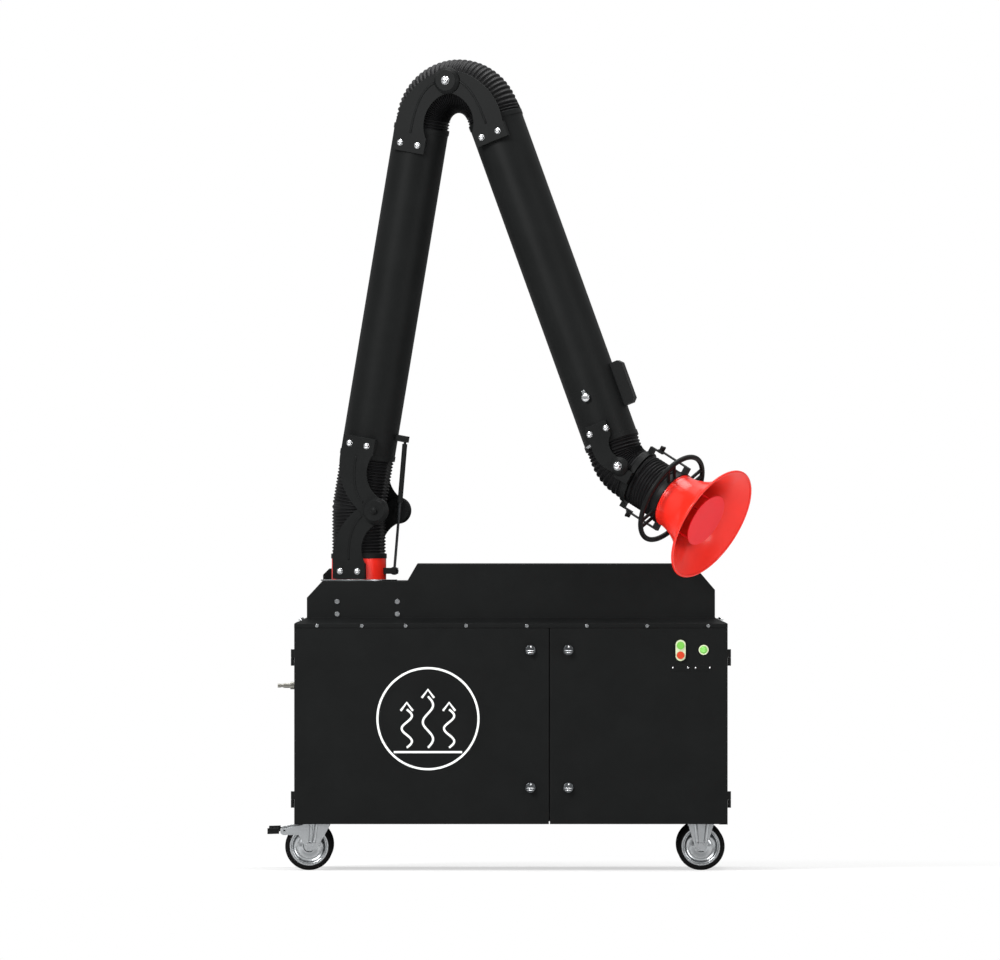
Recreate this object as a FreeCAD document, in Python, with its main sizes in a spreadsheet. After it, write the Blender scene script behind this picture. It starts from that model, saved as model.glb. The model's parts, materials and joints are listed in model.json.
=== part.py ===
import FreeCAD, Part
import math
import os
import re

import Sketcher

# Mobile welding fume extractor: a cartridge filter cabinet on casters with a jointed suction arm.
# Millimetres, +Z up, the front faces -Y, the floor is Z = 0.

# Driving dimensions. Every length, angle (degrees) and count is one cell of the sheet.
SIZES = {
    # Shared clearances
    "overrun": 5, "seat_gap": 0.3, "running_gap": 0.05, "slide_gap": 0.2,
    # Cabinet shell
    "cabinet_width": 1270, "cabinet_depth": 700, "cabinet_bottom": 134.5, "cabinet_top": 711, "cabinet_y": 194,
    "sheet": 2, "panel_flange": 25, "floor_height": 168, "floor_sheet": 3, "floor_rim": 30, "post_width": 44,
    "seam_x": 112.6, "partition_wall": 3,
    # Cowl on top of the cabinet
    "cowl_width": 1196, "cowl_inset": 37, "cowl_lip": 12, "cowl_flare": 17, "cowl_top": 898, "deck_top": 848,
    "deck_right": -304, "step_run": 29, "left_chamfer_run": 45, "left_chamfer_drop": 49,
    "right_chamfer_run": 65, "right_chamfer_drop": 76,
    # Doors, hinges and latches
    "door_depth": 20, "door_gap": 1.5, "door_back_gap": 2, "hinge_out": 5, "hinge_back": 6, "hinge_radius": 4.6,
    "hinge_pin_radius": 2.5, "hinge_half": 24, "hinge_leaf": 34, "hinge_leaf_wall": 1.8, "hinge_low": 208,
    "hinge_high": 624, "latch_inset": 55.5, "latch_low": 243, "latch_high": 646, "latch_radius": 14.5,
    "latch_head": 7, "latch_grip": 9, "latch_shaft_radius": 6, "latch_tongue": 45, "latch_tongue_wide": 16,
    "latch_tongue_wall": 3,
    # Controls on the right-hand door
    "switch_x": 497, "switch_z": 645, "switch_wide": 29.5, "switch_tall": 61.5, "bezel_depth": 8,
    "button_radius": 11, "button_pitch": 28.5, "button_depth": 9, "button_travel": 3, "lamp_x": 564.5,
    "lamp_z": 646.5, "lamp_bezel_radius": 14.5, "lamp_radius": 11, "lamp_dome": 6, "lamp_crown_radius": 7, "lamp_shoulder": 4.5,
    # Air nipple, push handle and rear fittings
    "nipple_z": 541, "nipple_back": 100, "nipple_hex_radius": 11, "nipple_hex": 12, "nipple_barrel_radius": 7,
    "nipple_barrel": 20, "nipple_neck_radius": 5, "nipple_neck": 8, "nipple_tip_radius": 6, "nipple_tip": 9,
    "nipple_bore_radius": 3, "handle_wide": 49, "handle_high": 35, "handle_slant": 18,
    "handle_length": 190, "handle_y": 10, "handle_foot": 34, "handle_gap": 20, "grille_x": 400, "grille_z": 590,
    "grille_wide": 280, "grille_tall": 150, "grille_rim": 18, "grille_depth": 6, "grille_slat": 4, "grille_slats": 7,
    "gland_inset": 75, "gland_z": 230, "gland_radius": 14, "gland_length": 22, "gland_bore_radius": 6,
    # Filter section behind the left-hand door
    "cartridge_radius": 138, "pleat_depth": 16, "pleats": 44, "cartridge_bore_radius": 95, "cartridge_length": 560,
    "cartridge_cap": 12, "cartridge_y": 152, "cartridge_z": 555, "drawer_width": 640, "drawer_depth": 590,
    "drawer_height": 150, "drawer_wall": 2, "drawer_pull_wide": 160, "drawer_pull_deep": 14, "drawer_pull_high": 22,
    # Clean side behind the right-hand door
    "tank_radius": 52, "tank_length": 440, "tank_x": 300, "tank_rise": 34, "blow_pipe_radius": 14,
    "blow_gap": 14, "valve_radius": 27, "valve_length": 46, "tank_bracket": 30, "fan_x": 375, "fan_z": 344,
    "fan_radius": 172, "fan_width": 130, "motor_back_gap": 10, "fan_wall": 3, "fan_inlet_radius": 96, "fan_foot": 40,
    "impeller_radius": 150, "impeller_width": 90, "impeller_plate": 4, "impeller_hub_radius": 26, "blades": 9,
    "blade_wall": 3, "blade_inner_radius": 92, "blade_lean": 42, "motor_radius": 82, "motor_length": 150,
    "motor_shaft_radius": 12, "motor_fin": 5, "motor_fins": 16,
    # Casters
    "wheel_radius": 70, "tyre_wall": 13, "wheel_width": 36, "rim_width": 30, "rim_web": 5, "hub_radius": 15,
    "axle_radius": 6, "axle_head_radius": 10, "axle_head": 6, "fork_wall": 4, "fork_side_gap": 2.5, "fork_crown": 4,
    "crown_gap": 2.5, "fork_eye_radius": 14, "caster_trail": 33, "swivel_inset": 76, "fixed_inset": 78,
    "caster_inset": 100, "caster_plate": 4, "caster_plate_long": 104, "caster_plate_wide": 86, "swivel_radius": 26,
    "pedal_length": 50, "pedal_wide": 30, "pedal_wall": 4, "pedal_pivot_up": 46, "pedal_pivot_out": 72,
    "pedal_dip": 2, "pedal_pad": 34, "pedal_pad_wall": 17, "pedal_barrel_radius": 6, "pedal_pin_radius": 3,
    # Suction arm: tubes, hoses and pivots
    "arm_x": -446, "arm_back": 165, "arm_yaw": -20, "tube_radius": 80, "tube_wall": 2, "collar_top": 921,
    "spigot_radius": 74, "spigot_wall": 4, "spigot_top": 905, "flange_radius": 112, "flange_wall": 4,
    "base_pivot_z": 1054.5, "base_offset": 88, "lower_lean": 10, "lower_reach": 1279, "lower_start": 150,
    "lower_length": 970, "outer_lean": 20.96, "outer_offset": 68, "outer_start": 151, "outer_length": 1006,
    "hood_pivot_forward": 28.3, "hood_pivot_along": 1246.6, "hood_dip": 29.3, "swing_side": 16.7, "swing_along": 62.8,
    "swing_turn": 9.4, "hose_crest_radius": 79, "hose_root_radius": 75, "hose_bore_radius": 72.5, "hose_cuff": 10,
    "elbow_bend": 112, "hood_bend": 108, "base_ribs": 9, "elbow_ribs": 13, "hood_upper_ribs": 4, "hood_lower_ribs": 4,
    # Arm brackets and friction joints
    "inner_plate": 84, "outer_plate": 92, "plate_wall": 4, "bracket_half": 50, "hood_bracket_half": 33,
    "bracket_eye_radius": 36,
    "saddle_half": 23, "saddle_reach": 74, "saddle_gap": 0.15, "base_saddle": 178, "lower_saddle": 181,
    "elbow_lower_saddle": 204, "elbow_outer_saddle": 195, "hood_saddle": 120, "hood_eye_radius": 24,
    "disc_over": 2, "cap_over": 3, "cap_taper": 9, "cap_height": 14, "pivot_radius": 6, "pivot_nut": 3.5,
    "pivot_head_radius": 9, "pivot_head": 7, "saddle_bolt_pitch": 54, "saddle_bolt_radius": 7, "saddle_bolt_head": 5,
    "clamp_width": 14, "clamp_wall": 1.5,
    # Gas strut in front of the base pivot
    "strut_low_x": 110.5, "strut_low_z": 877.5, "strut_high_x": 144.7, "strut_high_z": 1263.6,
    "strut_cylinder_radius": 7.5, "strut_cylinder": 172, "strut_bore_radius": 4.05, "strut_rod_radius": 4,
    "strut_rod_in": 60, "strut_eye_radius": 9, "strut_eye_wall": 9, "strut_pin_radius": 4, "strut_slot_radius": 8.2,
    "strut_slot_eye": 12, "strut_ear": 4, "strut_ear_gap": 1,
    # Damper, grab handle, gimbal, hood and handwheel
    "damper_along": 1021, "damper_radius": 75, "damper_wall": 2, "damper_shaft_radius": 5, "damper_knob_radius": 12,
    "damper_knob": 10, "damper_pointer": 22, "grab_along": 1010, "grab_length": 132, "grab_proud": 35,
    "grab_wide": 26, "grab_wall": 11, "gimbal_back": 26, "gimbal_width": 16, "gimbal_radius": 84, "gimbal_hold": 38,
    "swing_half": 104, "swing_bar_wide": 16, "swing_strap_wall": 4, "swing_pin_radius": 5, "swing_gap": 0.5, "wing_nut_radius": 8,
    "wing_nut": 12, "wing_span": 34, "wing_wall": 4, "hood_neck": 92, "hood_neck_radius": 81, "hood_neck_long": 13,
    "hood_rim": 254, "hood_rim_radius": 175, "hood_wall": 3, "baffle_radius": 81, "baffle_back": 22,
    "baffle_wall": 3, "baffle_legs": 3, "wheel_ring_radius": 137.5, "wheel_bar_radius": 7.5,
    "wheel_spoke_radius": 5, "wheel_spoke_gap": 26, "wheel_spoke_pairs": 4, "wheel_along": 101, "wheel_band": 16,
    "wheel_band_wall": 3,
    # Screws on the cowl
    "screw_radius": 5, "screw_head": 3, "mount_bolt_radius": 7, "mount_bolt_head": 4,
    "horn_out": 84, "horn_low": 38, "horn_high": 50, "horn_under_out": 77, "horn_under": 33,
    "fork_notch_out": 30, "fork_waist_out": 17, "fork_waist": 10, "fork_heel_out": 22, "fork_heel": 8,
    "fork_shoulder_out": 20, "fork_shoulder": 63, "fork_side_drop": 16, "fixed_fork_half": 46,
    "pedal_pad_wide": 36, "tyre_round": 7.2, "strut_neck": 14, "baffle_rod_radius": 3, "gland_lip": 3.5,
    "latch_grip_wide": 7.25, "button_edge": 1, "tank_round": 17.3333, "tank_strap": 10,
    "motor_shaft_in": 22.5, "motor_fin_wide": 2.5, "motor_fin_long": 120, "cap_rim": 4.6667,
    "wing_base": 4,
}

doc = FreeCAD.newDocument("fume_extractor")
sheet = doc.addObject("Spreadsheet::Sheet", "Sizes")
for row, (alias, number) in enumerate(SIZES.items(), 1):
    sheet.set(f"A{row}", alias)
    sheet.set(f"B{row}", str(number))
    sheet.setAlias(f"B{row}", alias)
doc.recompute()

nodes = {}


def size(expression):
    """The value of a formula in the sheet's names."""
    return float(sheet.evalExpression(expression))


def bound(expression):
    """The same formula with its names pointing at the sheet, for another object's setExpression."""
    return re.sub(r"\b[a-z]\w*\b", lambda m: "Sizes." + m[0] if m[0] in SIZES else m[0], expression)


def vec(x, y, z):
    return FreeCAD.Vector(x, y, z)


def turn(axis, degrees):
    return FreeCAD.Rotation(vec(*axis), degrees)


def frame(origin, rotation=FreeCAD.Rotation()):
    return FreeCAD.Placement(vec(*origin), rotation)


AXIS_X = turn((0, 1, 0), 90)
AXIS_Y = turn((1, 0, 0), -90)
AXIS_MINUS_X = turn((0, 1, 0), -90)
AXIS_MINUS_Y = turn((1, 0, 0), 90)
CABINET = frame((0, size("cabinet_y"), 0))


def set_place(thing, at, rotation):
    thing.Placement = FreeCAD.Placement(FreeCAD.Vector(), rotation)
    for letter, formula in zip("xyz", at):
        thing.setExpression(f"Placement.Base.{letter}", bound(str(formula)))


def box(name, corner, spans):
    """A block from its low corner and its spans, as formulas."""
    block = doc.addObject("Part::Box", name)
    for side, formula in zip(("Length", "Width", "Height"), spans):
        block.setExpression(side, bound(formula))
    set_place(block, corner, FreeCAD.Rotation())
    return block


def rod(name, radius, length, at=("0", "0", "0"), rotation=FreeCAD.Rotation()):
    """A cylinder from its start point along its turned Z axis."""
    bar = doc.addObject("Part::Cylinder", name)
    bar.setExpression("Radius", bound(radius))
    bar.setExpression("Height", bound(length))
    set_place(bar, at, rotation)
    return bar


def fuse(name, *things):
    joined = doc.addObject("Part::MultiFuse", name)
    joined.Shapes = list(things)
    return joined


def cut(name, base, *tools):
    result = doc.addObject("Part::Cut", name)
    result.Base = base
    result.Tool = tools[0] if len(tools) == 1 else fuse(name + "_tools", *tools)
    return result


def group(name, *things):
    """Separate solids kept together as one sub-part."""
    together = doc.addObject("Part::Compound", name)
    together.Links = list(things)
    return together


def formed(name, shape):
    """A solid made directly with Part's own functions."""
    thing = doc.addObject("Part::Feature", name)
    thing.Shape = shape
    return thing


def body_with_sketch(name, plane, edges):
    body = doc.addObject("PartDesign::Body", name)
    sketch = body.newObject("Sketcher::SketchObject", name + "_sketch")
    origin_plane = [f for f in body.Origin.OriginFeatures if f.Role == plane][0]
    sketch.AttachmentSupport = [(origin_plane, "")]
    sketch.MapMode = "FlatFace"
    for edge in edges:
        sketch.addGeometry(edge, False)
    return body, sketch


def line(a, b):
    return Part.LineSegment(vec(a[0], a[1], 0), vec(b[0], b[1], 0))


def arc(a, through, b):
    return Part.Arc(vec(a[0], a[1], 0), vec(through[0], through[1], 0), vec(b[0], b[1], 0))


def loop(points):
    return [line(a, b) for a, b in zip(points, points[1:] + points[:1])]


def padded(name, plane, edges, length, midplane=False):
    """A sketch outline padded by a formula."""
    body, sketch = body_with_sketch(name, plane, edges)
    pad = body.newObject("PartDesign::Pad", name + "_pad")
    pad.Profile = sketch
    pad.setExpression("Length", bound(length))
    pad.Midplane = midplane
    return body


def bind_corners(sketch, corners):
    """Ties the corners of a straight-sided outline to formulas in the sheet."""
    count = len(corners)
    for i in range(count):
        sketch.addConstraint(Sketcher.Constraint("Coincident", i, 2, (i + 1) % count, 1))
    for i, corner in enumerate(corners):
        for kind, formula in zip(("DistanceX", "DistanceY"), corner):
            index = sketch.addConstraint(Sketcher.Constraint(kind, -1, 1, i, 1, size(formula)))
            label = f"{kind[-1].lower()}{i}"
            sketch.renameConstraint(index, label)
            sketch.setExpression(f"Constraints.{label}", bound(formula))


def plate_body(name, plane, corners, length, midplane=False):
    """A straight-sided outline, each corner a pair of formulas, padded by a formula."""
    points = [(size(x), size(y)) for x, y in corners]
    body = padded(name, plane, loop(points), length, midplane)
    bind_corners(body.Group[0], corners)
    return body


def revolved(name, edges):
    """An outline in the XZ plane turned a full circle about Z."""
    body, sketch = body_with_sketch(name, "XZ_Plane", edges)
    spun = body.newObject("PartDesign::Revolution", name + "_turn")
    spun.Profile = sketch
    spun.ReferenceAxis = (sketch, ["V_Axis"])
    spun.Angle = 360
    return body


def turned_body(name, corners):
    """A straight-sided outline of radius and height formulas turned about Z."""
    body = revolved(name, loop([(size(r), size(z)) for r, z in corners]))
    bind_corners(body.Group[0], corners)
    return body


def node(label, thing, place=FreeCAD.Placement()):
    """Registers a finished sub-part and puts it in its place."""
    thing.Label = label
    thing.Placement = place.multiply(thing.Placement)
    nodes[label] = thing
    return thing


# Cabinet shell, in the cabinet's own frame: X across, Y back, the middle of the cabinet at Y = 0.
DOOR_BACK = "(-cabinet_depth/2 + door_depth)"
NIPPLE_Y = "(nipple_back - cabinet_depth/2)"
GLAND_X = "(cabinet_width/2 - gland_inset)"
FAN_Y = "(cabinet_depth/2 - motor_back_gap - motor_length - fan_width)"
SWIVEL_X = "(swivel_inset - cabinet_width/2)"
FIXED_X = "(cabinet_width/2 - fixed_inset)"
CASTER_Y = "(cabinet_depth/2 - caster_inset)"
ARM_Y = "(arm_back - cabinet_depth/2)"
SHELL_FRONT = f"({DOOR_BACK} + door_back_gap)"


def base_frame():
    """Folded floor tray that carries the casters."""
    width = "(cabinet_width - 2*sheet - 2*seat_gap)"
    front = f"({SHELL_FRONT} + sheet + seat_gap)"
    depth = f"(cabinet_depth/2 - sheet - seat_gap - {front})"
    tray = box("tray", (f"-{width}/2", front, "floor_height"), (width, depth, "floor_rim"))
    hollow = box("tray_hollow", (f"-{width}/2 + floor_sheet", f"{front} + floor_sheet", "floor_height + floor_sheet"),
                 (f"{width} - 2*floor_sheet", f"{depth} - 2*floor_sheet", "floor_rim"))
    node("base_frame", cut("base_frame", tray, hollow), CABINET)


def side_panels():
    """Two channel-folded side sheets with a front and a top flange."""
    panels = []
    for side, sign in (("left", -1), ("right", 1)):
        low = "-cabinet_width/2" if sign < 0 else "cabinet_width/2 - panel_flange"
        inner_low = "-cabinet_width/2 + sheet" if sign < 0 else "cabinet_width/2 - panel_flange - overrun"
        channel = box(f"{side}_channel", (low, SHELL_FRONT, "cabinet_bottom"),
                      ("panel_flange", f"cabinet_depth/2 - {SHELL_FRONT}", "cabinet_top - cabinet_bottom"))
        inside = box(f"{side}_channel_inside", (inner_low, f"{SHELL_FRONT} + sheet", "cabinet_bottom - overrun"),
                     ("panel_flange + overrun - sheet", "cabinet_depth",
                      "cabinet_top - cabinet_bottom + overrun - sheet"))
        panels.append(cut(f"{side}_panel", channel, inside))
    node("side_panels", group("side_panels", *panels), CABINET)


def rear_panel():
    """Back sheet with the exhaust opening and the cable hole."""
    half = "(cabinet_width/2 - sheet - seat_gap)"
    back = box("back_sheet", (f"-{half}", "cabinet_depth/2 - sheet", "cabinet_bottom"),
               (f"2*{half}", "sheet", "cabinet_top - sheet - seat_gap - cabinet_bottom"))
    vent = box("vent_hole", ("grille_x - grille_wide/2 + grille_rim", "cabinet_depth/2 - sheet - overrun",
                             "grille_z - grille_tall/2 + grille_rim"),
               ("grille_wide - 2*grille_rim", "sheet + 2*overrun", "grille_tall - 2*grille_rim"))
    hole = rod("cable_hole", "gland_bore_radius", "sheet + 2*overrun",
               (GLAND_X, "cabinet_depth/2 - sheet - overrun", "gland_z"), AXIS_Y)
    node("rear_panel", cut("rear_panel", back, vent, hole), CABINET)


def partition():
    """Tube sheet between the filter side and the clean side, with the door post as its front flange."""
    low = "(floor_height + floor_sheet)"
    tall = f"(cabinet_top - seat_gap - {low})"
    rear = "(cabinet_depth/2 - sheet - floor_sheet - 2*seat_gap)"
    plate = box("tube_sheet", ("seam_x - partition_wall/2", SHELL_FRONT, low),
                ("partition_wall", f"{rear} - {SHELL_FRONT}", tall))
    post = box("door_post", ("seam_x - post_width/2", SHELL_FRONT, low), ("post_width", "sheet", tall))
    ports = [rod(f"clean_air_port_{i}", "cartridge_bore_radius", "partition_wall + 2*overrun",
                 ("seam_x - partition_wall/2 - overrun", f"{sign}cartridge_y", "cartridge_z"), AXIS_X)
             for i, sign in enumerate(("-", "+"))]
    rim = box("tray_rim_notch", ("seam_x - post_width", SHELL_FRONT + " + sheet", low),
              ("2*post_width", "floor_sheet + 2*seat_gap", "floor_rim"))
    node("partition", cut("partition", fuse("sheet_and_post", plate, post), rim, *ports), CABINET)


def cowl():
    """Stepped top cover: a low arm deck on the left, a high plenum on the right and a flared skirt."""
    def profile(grow):
        half = f"(cowl_width/2 - {grow})"
        top, deck = f"(cowl_top - {grow})", f"(deck_top - {grow})"
        return [(f"-{half}", "cabinet_top"), (half, "cabinet_top"), (half, f"{top} - right_chamfer_drop"),
                (f"{half} - right_chamfer_run", top), (f"deck_right + step_run + {grow}", top),
                (f"deck_right + {grow}", deck), (f"-{half} + left_chamfer_run", deck),
                (f"-{half}", f"{deck} - left_chamfer_drop")]

    def skirt(name, grow):
        flare = doc.addObject("Part::Wedge", name)
        limits = {"Xmin": f"-cabinet_width/2 + {grow}", "Xmax": f"cabinet_width/2 - {grow}",
                  "X2min": f"-cowl_width/2 + {grow}", "X2max": f"cowl_width/2 - {grow}",
                  "Zmin": f"-cabinet_depth/2 + {grow}", "Zmax": f"cabinet_depth/2 - {grow}",
                  "Z2min": f"-cabinet_depth/2 + cowl_inset + {grow}",
                  "Z2max": f"cabinet_depth/2 - cowl_inset - {grow}", "Ymin": "0", "Ymax": "cowl_flare"}
        for limit, formula in limits.items():
            flare.setExpression(limit, bound(formula))
        set_place(flare, ("0", "0", "cabinet_top + cowl_lip"), AXIS_MINUS_Y)
        lip = box(name + "_lip", (f"-cabinet_width/2 + {grow}", f"-cabinet_depth/2 + {grow}", "cabinet_top"),
                  (f"cabinet_width - 2*{grow}", f"cabinet_depth - 2*{grow}", "cowl_lip"))
        return flare, lip

    outer = plate_body("cowl_outside", "XZ_Plane", profile("0"), "cabinet_depth - 2*cowl_inset", True)
    inner = plate_body("cowl_inside", "XZ_Plane", profile("sheet"), "cabinet_depth - 2*cowl_inset - 2*sheet", True)
    shell = cut("cowl_shell", fuse("cowl_solid", outer, *skirt("skirt", "0")),
                fuse("cowl_hollow", inner, *skirt("skirt_hollow", "sheet")))
    throat = rod("arm_throat", "spigot_radius - spigot_wall", "2*overrun + sheet",
                 ("arm_x", ARM_Y, "deck_top - sheet - overrun"))
    node("cowl", cut("cowl", shell, throat), CABINET)


# Screw places along the cowl lip and on the arm mount, as shares of the half width and of the depth
LIP_SCREW_SHARES = (-0.895, -0.688, -0.486, -0.207, 0.074, 0.35, 0.628, 0.91)
MOUNT_BOLT_X_SHARES = (-0.852, -0.557)
MOUNT_BOLT_Z_SHARES = (0.19, 0.81)


def cabinet_screws():
    """Screw heads on the cowl lip, front and back, and the four bolts that hold the arm mount."""
    heads = []
    for face, sign in (("front", "-"), ("back", "+")):
        rotation = AXIS_MINUS_Y if sign == "-" else AXIS_Y
        for i, share in enumerate(LIP_SCREW_SHARES):
            heads.append(rod(f"{face}_screw_{i}", "screw_radius", "screw_head",
                             (f"{share}*cabinet_width/2", f"{sign}cabinet_depth/2", "cabinet_top + cowl_lip/2"),
                             rotation))
    wall_low = "(cabinet_top + cowl_lip + cowl_flare)"
    for i, x_share in enumerate(MOUNT_BOLT_X_SHARES):
        for j, z_share in enumerate(MOUNT_BOLT_Z_SHARES):
            heads.append(rod(f"mount_bolt_{i}{j}", "mount_bolt_radius", "mount_bolt_head",
                             (f"{x_share}*cowl_width/2", "-cabinet_depth/2 + cowl_inset",
                              f"{wall_low} + {z_share}*(deck_top - left_chamfer_drop - {wall_low})"), AXIS_MINUS_Y))
    node("cabinet_screws", group("cabinet_screws", *heads), CABINET)


def hinge_places():
    """The two hinge axes with the direction from each into its door."""
    x = "(cabinet_width/2 + hinge_out)"
    return (("left", f"-{x}", 1), ("right", x, -1))


HINGE_Y = "(-cabinet_depth/2 + hinge_back)"


def hinge_leaves():
    """Fixed hinge halves with their pins, on the cabinet's sides."""
    halves = []
    for side, x, inward in hinge_places():
        for level in ("hinge_low", "hinge_high"):
            name = f"{side}_{level}"
            knuckle = rod(name + "_knuckle", "hinge_radius", "hinge_half", (x, HINGE_Y, f"{level} - hinge_half"))
            pin = rod(name + "_pin", "hinge_pin_radius", "hinge_half", (x, HINGE_Y, f"{level} - seat_gap"))
            out = "cabinet_width/2 + seat_gap"
            low = f"-({out}) - hinge_leaf_wall" if inward > 0 else out
            leaf = box(name + "_leaf", (low, HINGE_Y, f"{level} - hinge_half"),
                       ("hinge_leaf_wall", "hinge_leaf", "hinge_half"))
            reach = x if inward > 0 else f"{out} + hinge_leaf_wall/2"
            web = box(name + "_web", (reach, HINGE_Y, f"{level} - hinge_half"),
                      ("hinge_out - seat_gap - hinge_leaf_wall/2", "hinge_radius", "hinge_half"))
            halves.append(fuse(name, knuckle, pin, leaf, web))
    node("hinge_leaves", group("hinge_leaves", *halves), CABINET)


def air_nipple():
    """Compressed-air plug nipple on the left side."""
    stops = ("nipple_hex", "nipple_barrel", "nipple_neck", "nipple_tip")
    radii = ("nipple_hex_radius", "nipple_barrel_radius", "nipple_neck_radius", "nipple_tip_radius")
    corners = [("nipple_bore_radius", "0")]
    height = "0"
    for stop, radius in zip(stops, radii):
        corners.append((radius, height))
        height = f"{height} + {stop}"
        corners.append((radius, height))
    corners.append(("nipple_bore_radius", height))
    at = (size("-cabinet_width/2"), size(NIPPLE_Y), size("nipple_z"))
    node("air_nipple", turned_body("air_nipple", corners), CABINET.multiply(frame(at, AXIS_MINUS_X)))


def push_handle():
    """Moulded bridge handle on the arm deck."""
    corners = [("0", "0"), ("handle_wide", "0"), ("handle_wide", "handle_high"), ("handle_slant", "handle_high"),
               ("0", "handle_high - handle_slant")]
    bar = plate_body("handle_bar", "XZ_Plane", corners, "handle_length", True)
    gap = box("handle_finger_gap", ("-overrun", "-handle_length/2 + handle_foot", "-overrun"),
              ("handle_wide + 2*overrun", "handle_length - 2*handle_foot", "handle_gap + overrun"))
    rest = CABINET.multiply(frame((size("-cowl_width/2 + left_chamfer_run"), size("handle_y + handle_length/2"),
                                   size("deck_top"))))
    node("push_handle", cut("push_handle", bar, gap), rest)


def exhaust_grille():
    """Louvred outlet on the back sheet."""
    rim = box("grille_frame", ("-grille_wide/2", "0", "-grille_tall/2"), ("grille_wide", "grille_depth", "grille_tall"))
    window = box("grille_window", ("-grille_wide/2 + grille_rim", "-overrun", "-grille_tall/2 + grille_rim"),
                 ("grille_wide - 2*grille_rim", "grille_depth + 2*overrun", "grille_tall - 2*grille_rim"))
    slats = []
    for i in range(int(size("grille_slats"))):
        height = f"-grille_tall/2 + grille_rim + {i + 1}*(grille_tall - 2*grille_rim)/(grille_slats + 1)"
        slats.append(box(f"slat_{i}", ("-grille_wide/2 + grille_rim/2", "0", f"{height} - grille_slat/2"),
                         ("grille_wide - grille_rim", "grille_depth", "grille_slat")))
    at = (size("grille_x"), size("cabinet_depth/2"), size("grille_z"))
    node("exhaust_grille", fuse("exhaust_grille", cut("grille_rim_frame", rim, window), *slats),
         CABINET.multiply(frame(at)))


def cable_gland():
    """Empty cable gland on the back sheet."""
    corners = [("gland_bore_radius", "0"), ("gland_radius", "0"), ("gland_radius", "gland_length/2"),
               ("gland_bore_radius + gland_lip", "gland_length"), ("gland_bore_radius", "gland_length")]
    at = (size(GLAND_X), size("cabinet_depth/2"), size("gland_z"))
    node("cable_gland", turned_body("cable_gland", corners), CABINET.multiply(frame(at, AXIS_Y)))


for make in (base_frame, side_panels, rear_panel, partition, cowl, cabinet_screws, hinge_leaves, air_nipple,
             push_handle, exhaust_grille, cable_gland):
    make()


# Doors and what they carry
DOOR_LOW = "(cabinet_bottom + door_gap)"
DOOR_TALL = "(cabinet_top - cabinet_bottom - 2*door_gap)"
DOOR_FRONT = "(-cabinet_depth/2)"


def door_spans():
    """Each door's low X and width, with its latch axis."""
    edge = "(cabinet_width/2 - door_gap/2)"
    left_low, left_high = f"-{edge}", "(seam_x - door_gap)"
    right_low, right_high = "(seam_x + door_gap)", edge
    return (("left", left_low, f"({left_high} + {edge})", "(seam_x - latch_inset)"),
            ("right", right_low, f"({right_high} - {right_low})", "(seam_x + latch_inset)"))


def doors():
    """Pan-folded doors with their hinge knuckles and latch holes."""
    for (side, low, width, latch), (_, hinge_x, inward) in zip(door_spans(), hinge_places()):
        pan = box(f"{side}_pan", (low, DOOR_FRONT, DOOR_LOW), (width, "door_depth", DOOR_TALL))
        hollow = box(f"{side}_pan_hollow", (f"{low} + sheet", f"{DOOR_FRONT} + sheet", f"{DOOR_LOW} + sheet"),
                     (f"{width} - 2*sheet", "door_depth", f"{DOOR_TALL} - 2*sheet"))
        holes = [rod(f"{side}_{level}_hole", "latch_shaft_radius + running_gap", "sheet + 2*overrun",
                     (latch, f"{DOOR_FRONT} - overrun", level), AXIS_Y) for level in ("latch_low", "latch_high")]
        knuckles = []
        bores = []
        for level in ("hinge_low", "hinge_high"):
            name = f"{side}_door_{level}"
            knuckles.append(rod(name, "hinge_radius", "hinge_half", (hinge_x, HINGE_Y, f"{level} + seat_gap")))
            start = hinge_x if inward > 0 else "cabinet_width/2 - door_gap"
            knuckles.append(box(name + "_web", (start, f"{HINGE_Y} - hinge_radius", f"{level} + seat_gap"),
                                ("hinge_out + door_gap", "hinge_radius", "hinge_half")))
            bores.append(rod(name + "_bore", "hinge_pin_radius + running_gap", "hinge_half + 2*overrun",
                             (hinge_x, HINGE_Y, f"{level} - overrun")))
        leaf = cut(f"{side}_leaf", pan, hollow, *holes)
        node(f"{side}_door", cut(f"{side}_door", fuse(f"{side}_hung", leaf, *knuckles), *bores), CABINET)


def latches():
    """Quarter-turn latches: round head with a grip bar, shaft and tongue, kept unlatched."""
    for side, _, _, x in door_spans():
        for level in ("latch_low", "latch_high"):
            name = f"{side}_{level}"
            front = f"{DOOR_FRONT} - seat_gap"
            head = rod(name + "_head", "latch_radius", "latch_head", (x, f"{front} - latch_head", level), AXIS_Y)
            grip = box(name + "_grip", (f"{x} - latch_grip_wide/2", f"{front} - latch_head - latch_grip",
                                        f"{level} - latch_radius"), ("latch_radius/2", "latch_grip", "2*latch_radius"))
            tongue_front = f"({SHELL_FRONT} + sheet + seat_gap)"
            stem = rod(name + "_stem", "latch_shaft_radius", f"{tongue_front} + latch_tongue_wall - ({front})",
                       (x, front, level), AXIS_Y)
            tongue = box(name + "_tongue", (f"{x} - latch_tongue_wide/2", tongue_front, f"{level} - latch_tongue_wide/2"),
                         ("latch_tongue_wide", "latch_tongue_wall", "latch_tongue + latch_tongue_wide/2"))
            label = f"{side}_latch_{level.split('_')[1]}"
            node(label, fuse(name, head, grip, stem, tongue), CABINET)


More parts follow.
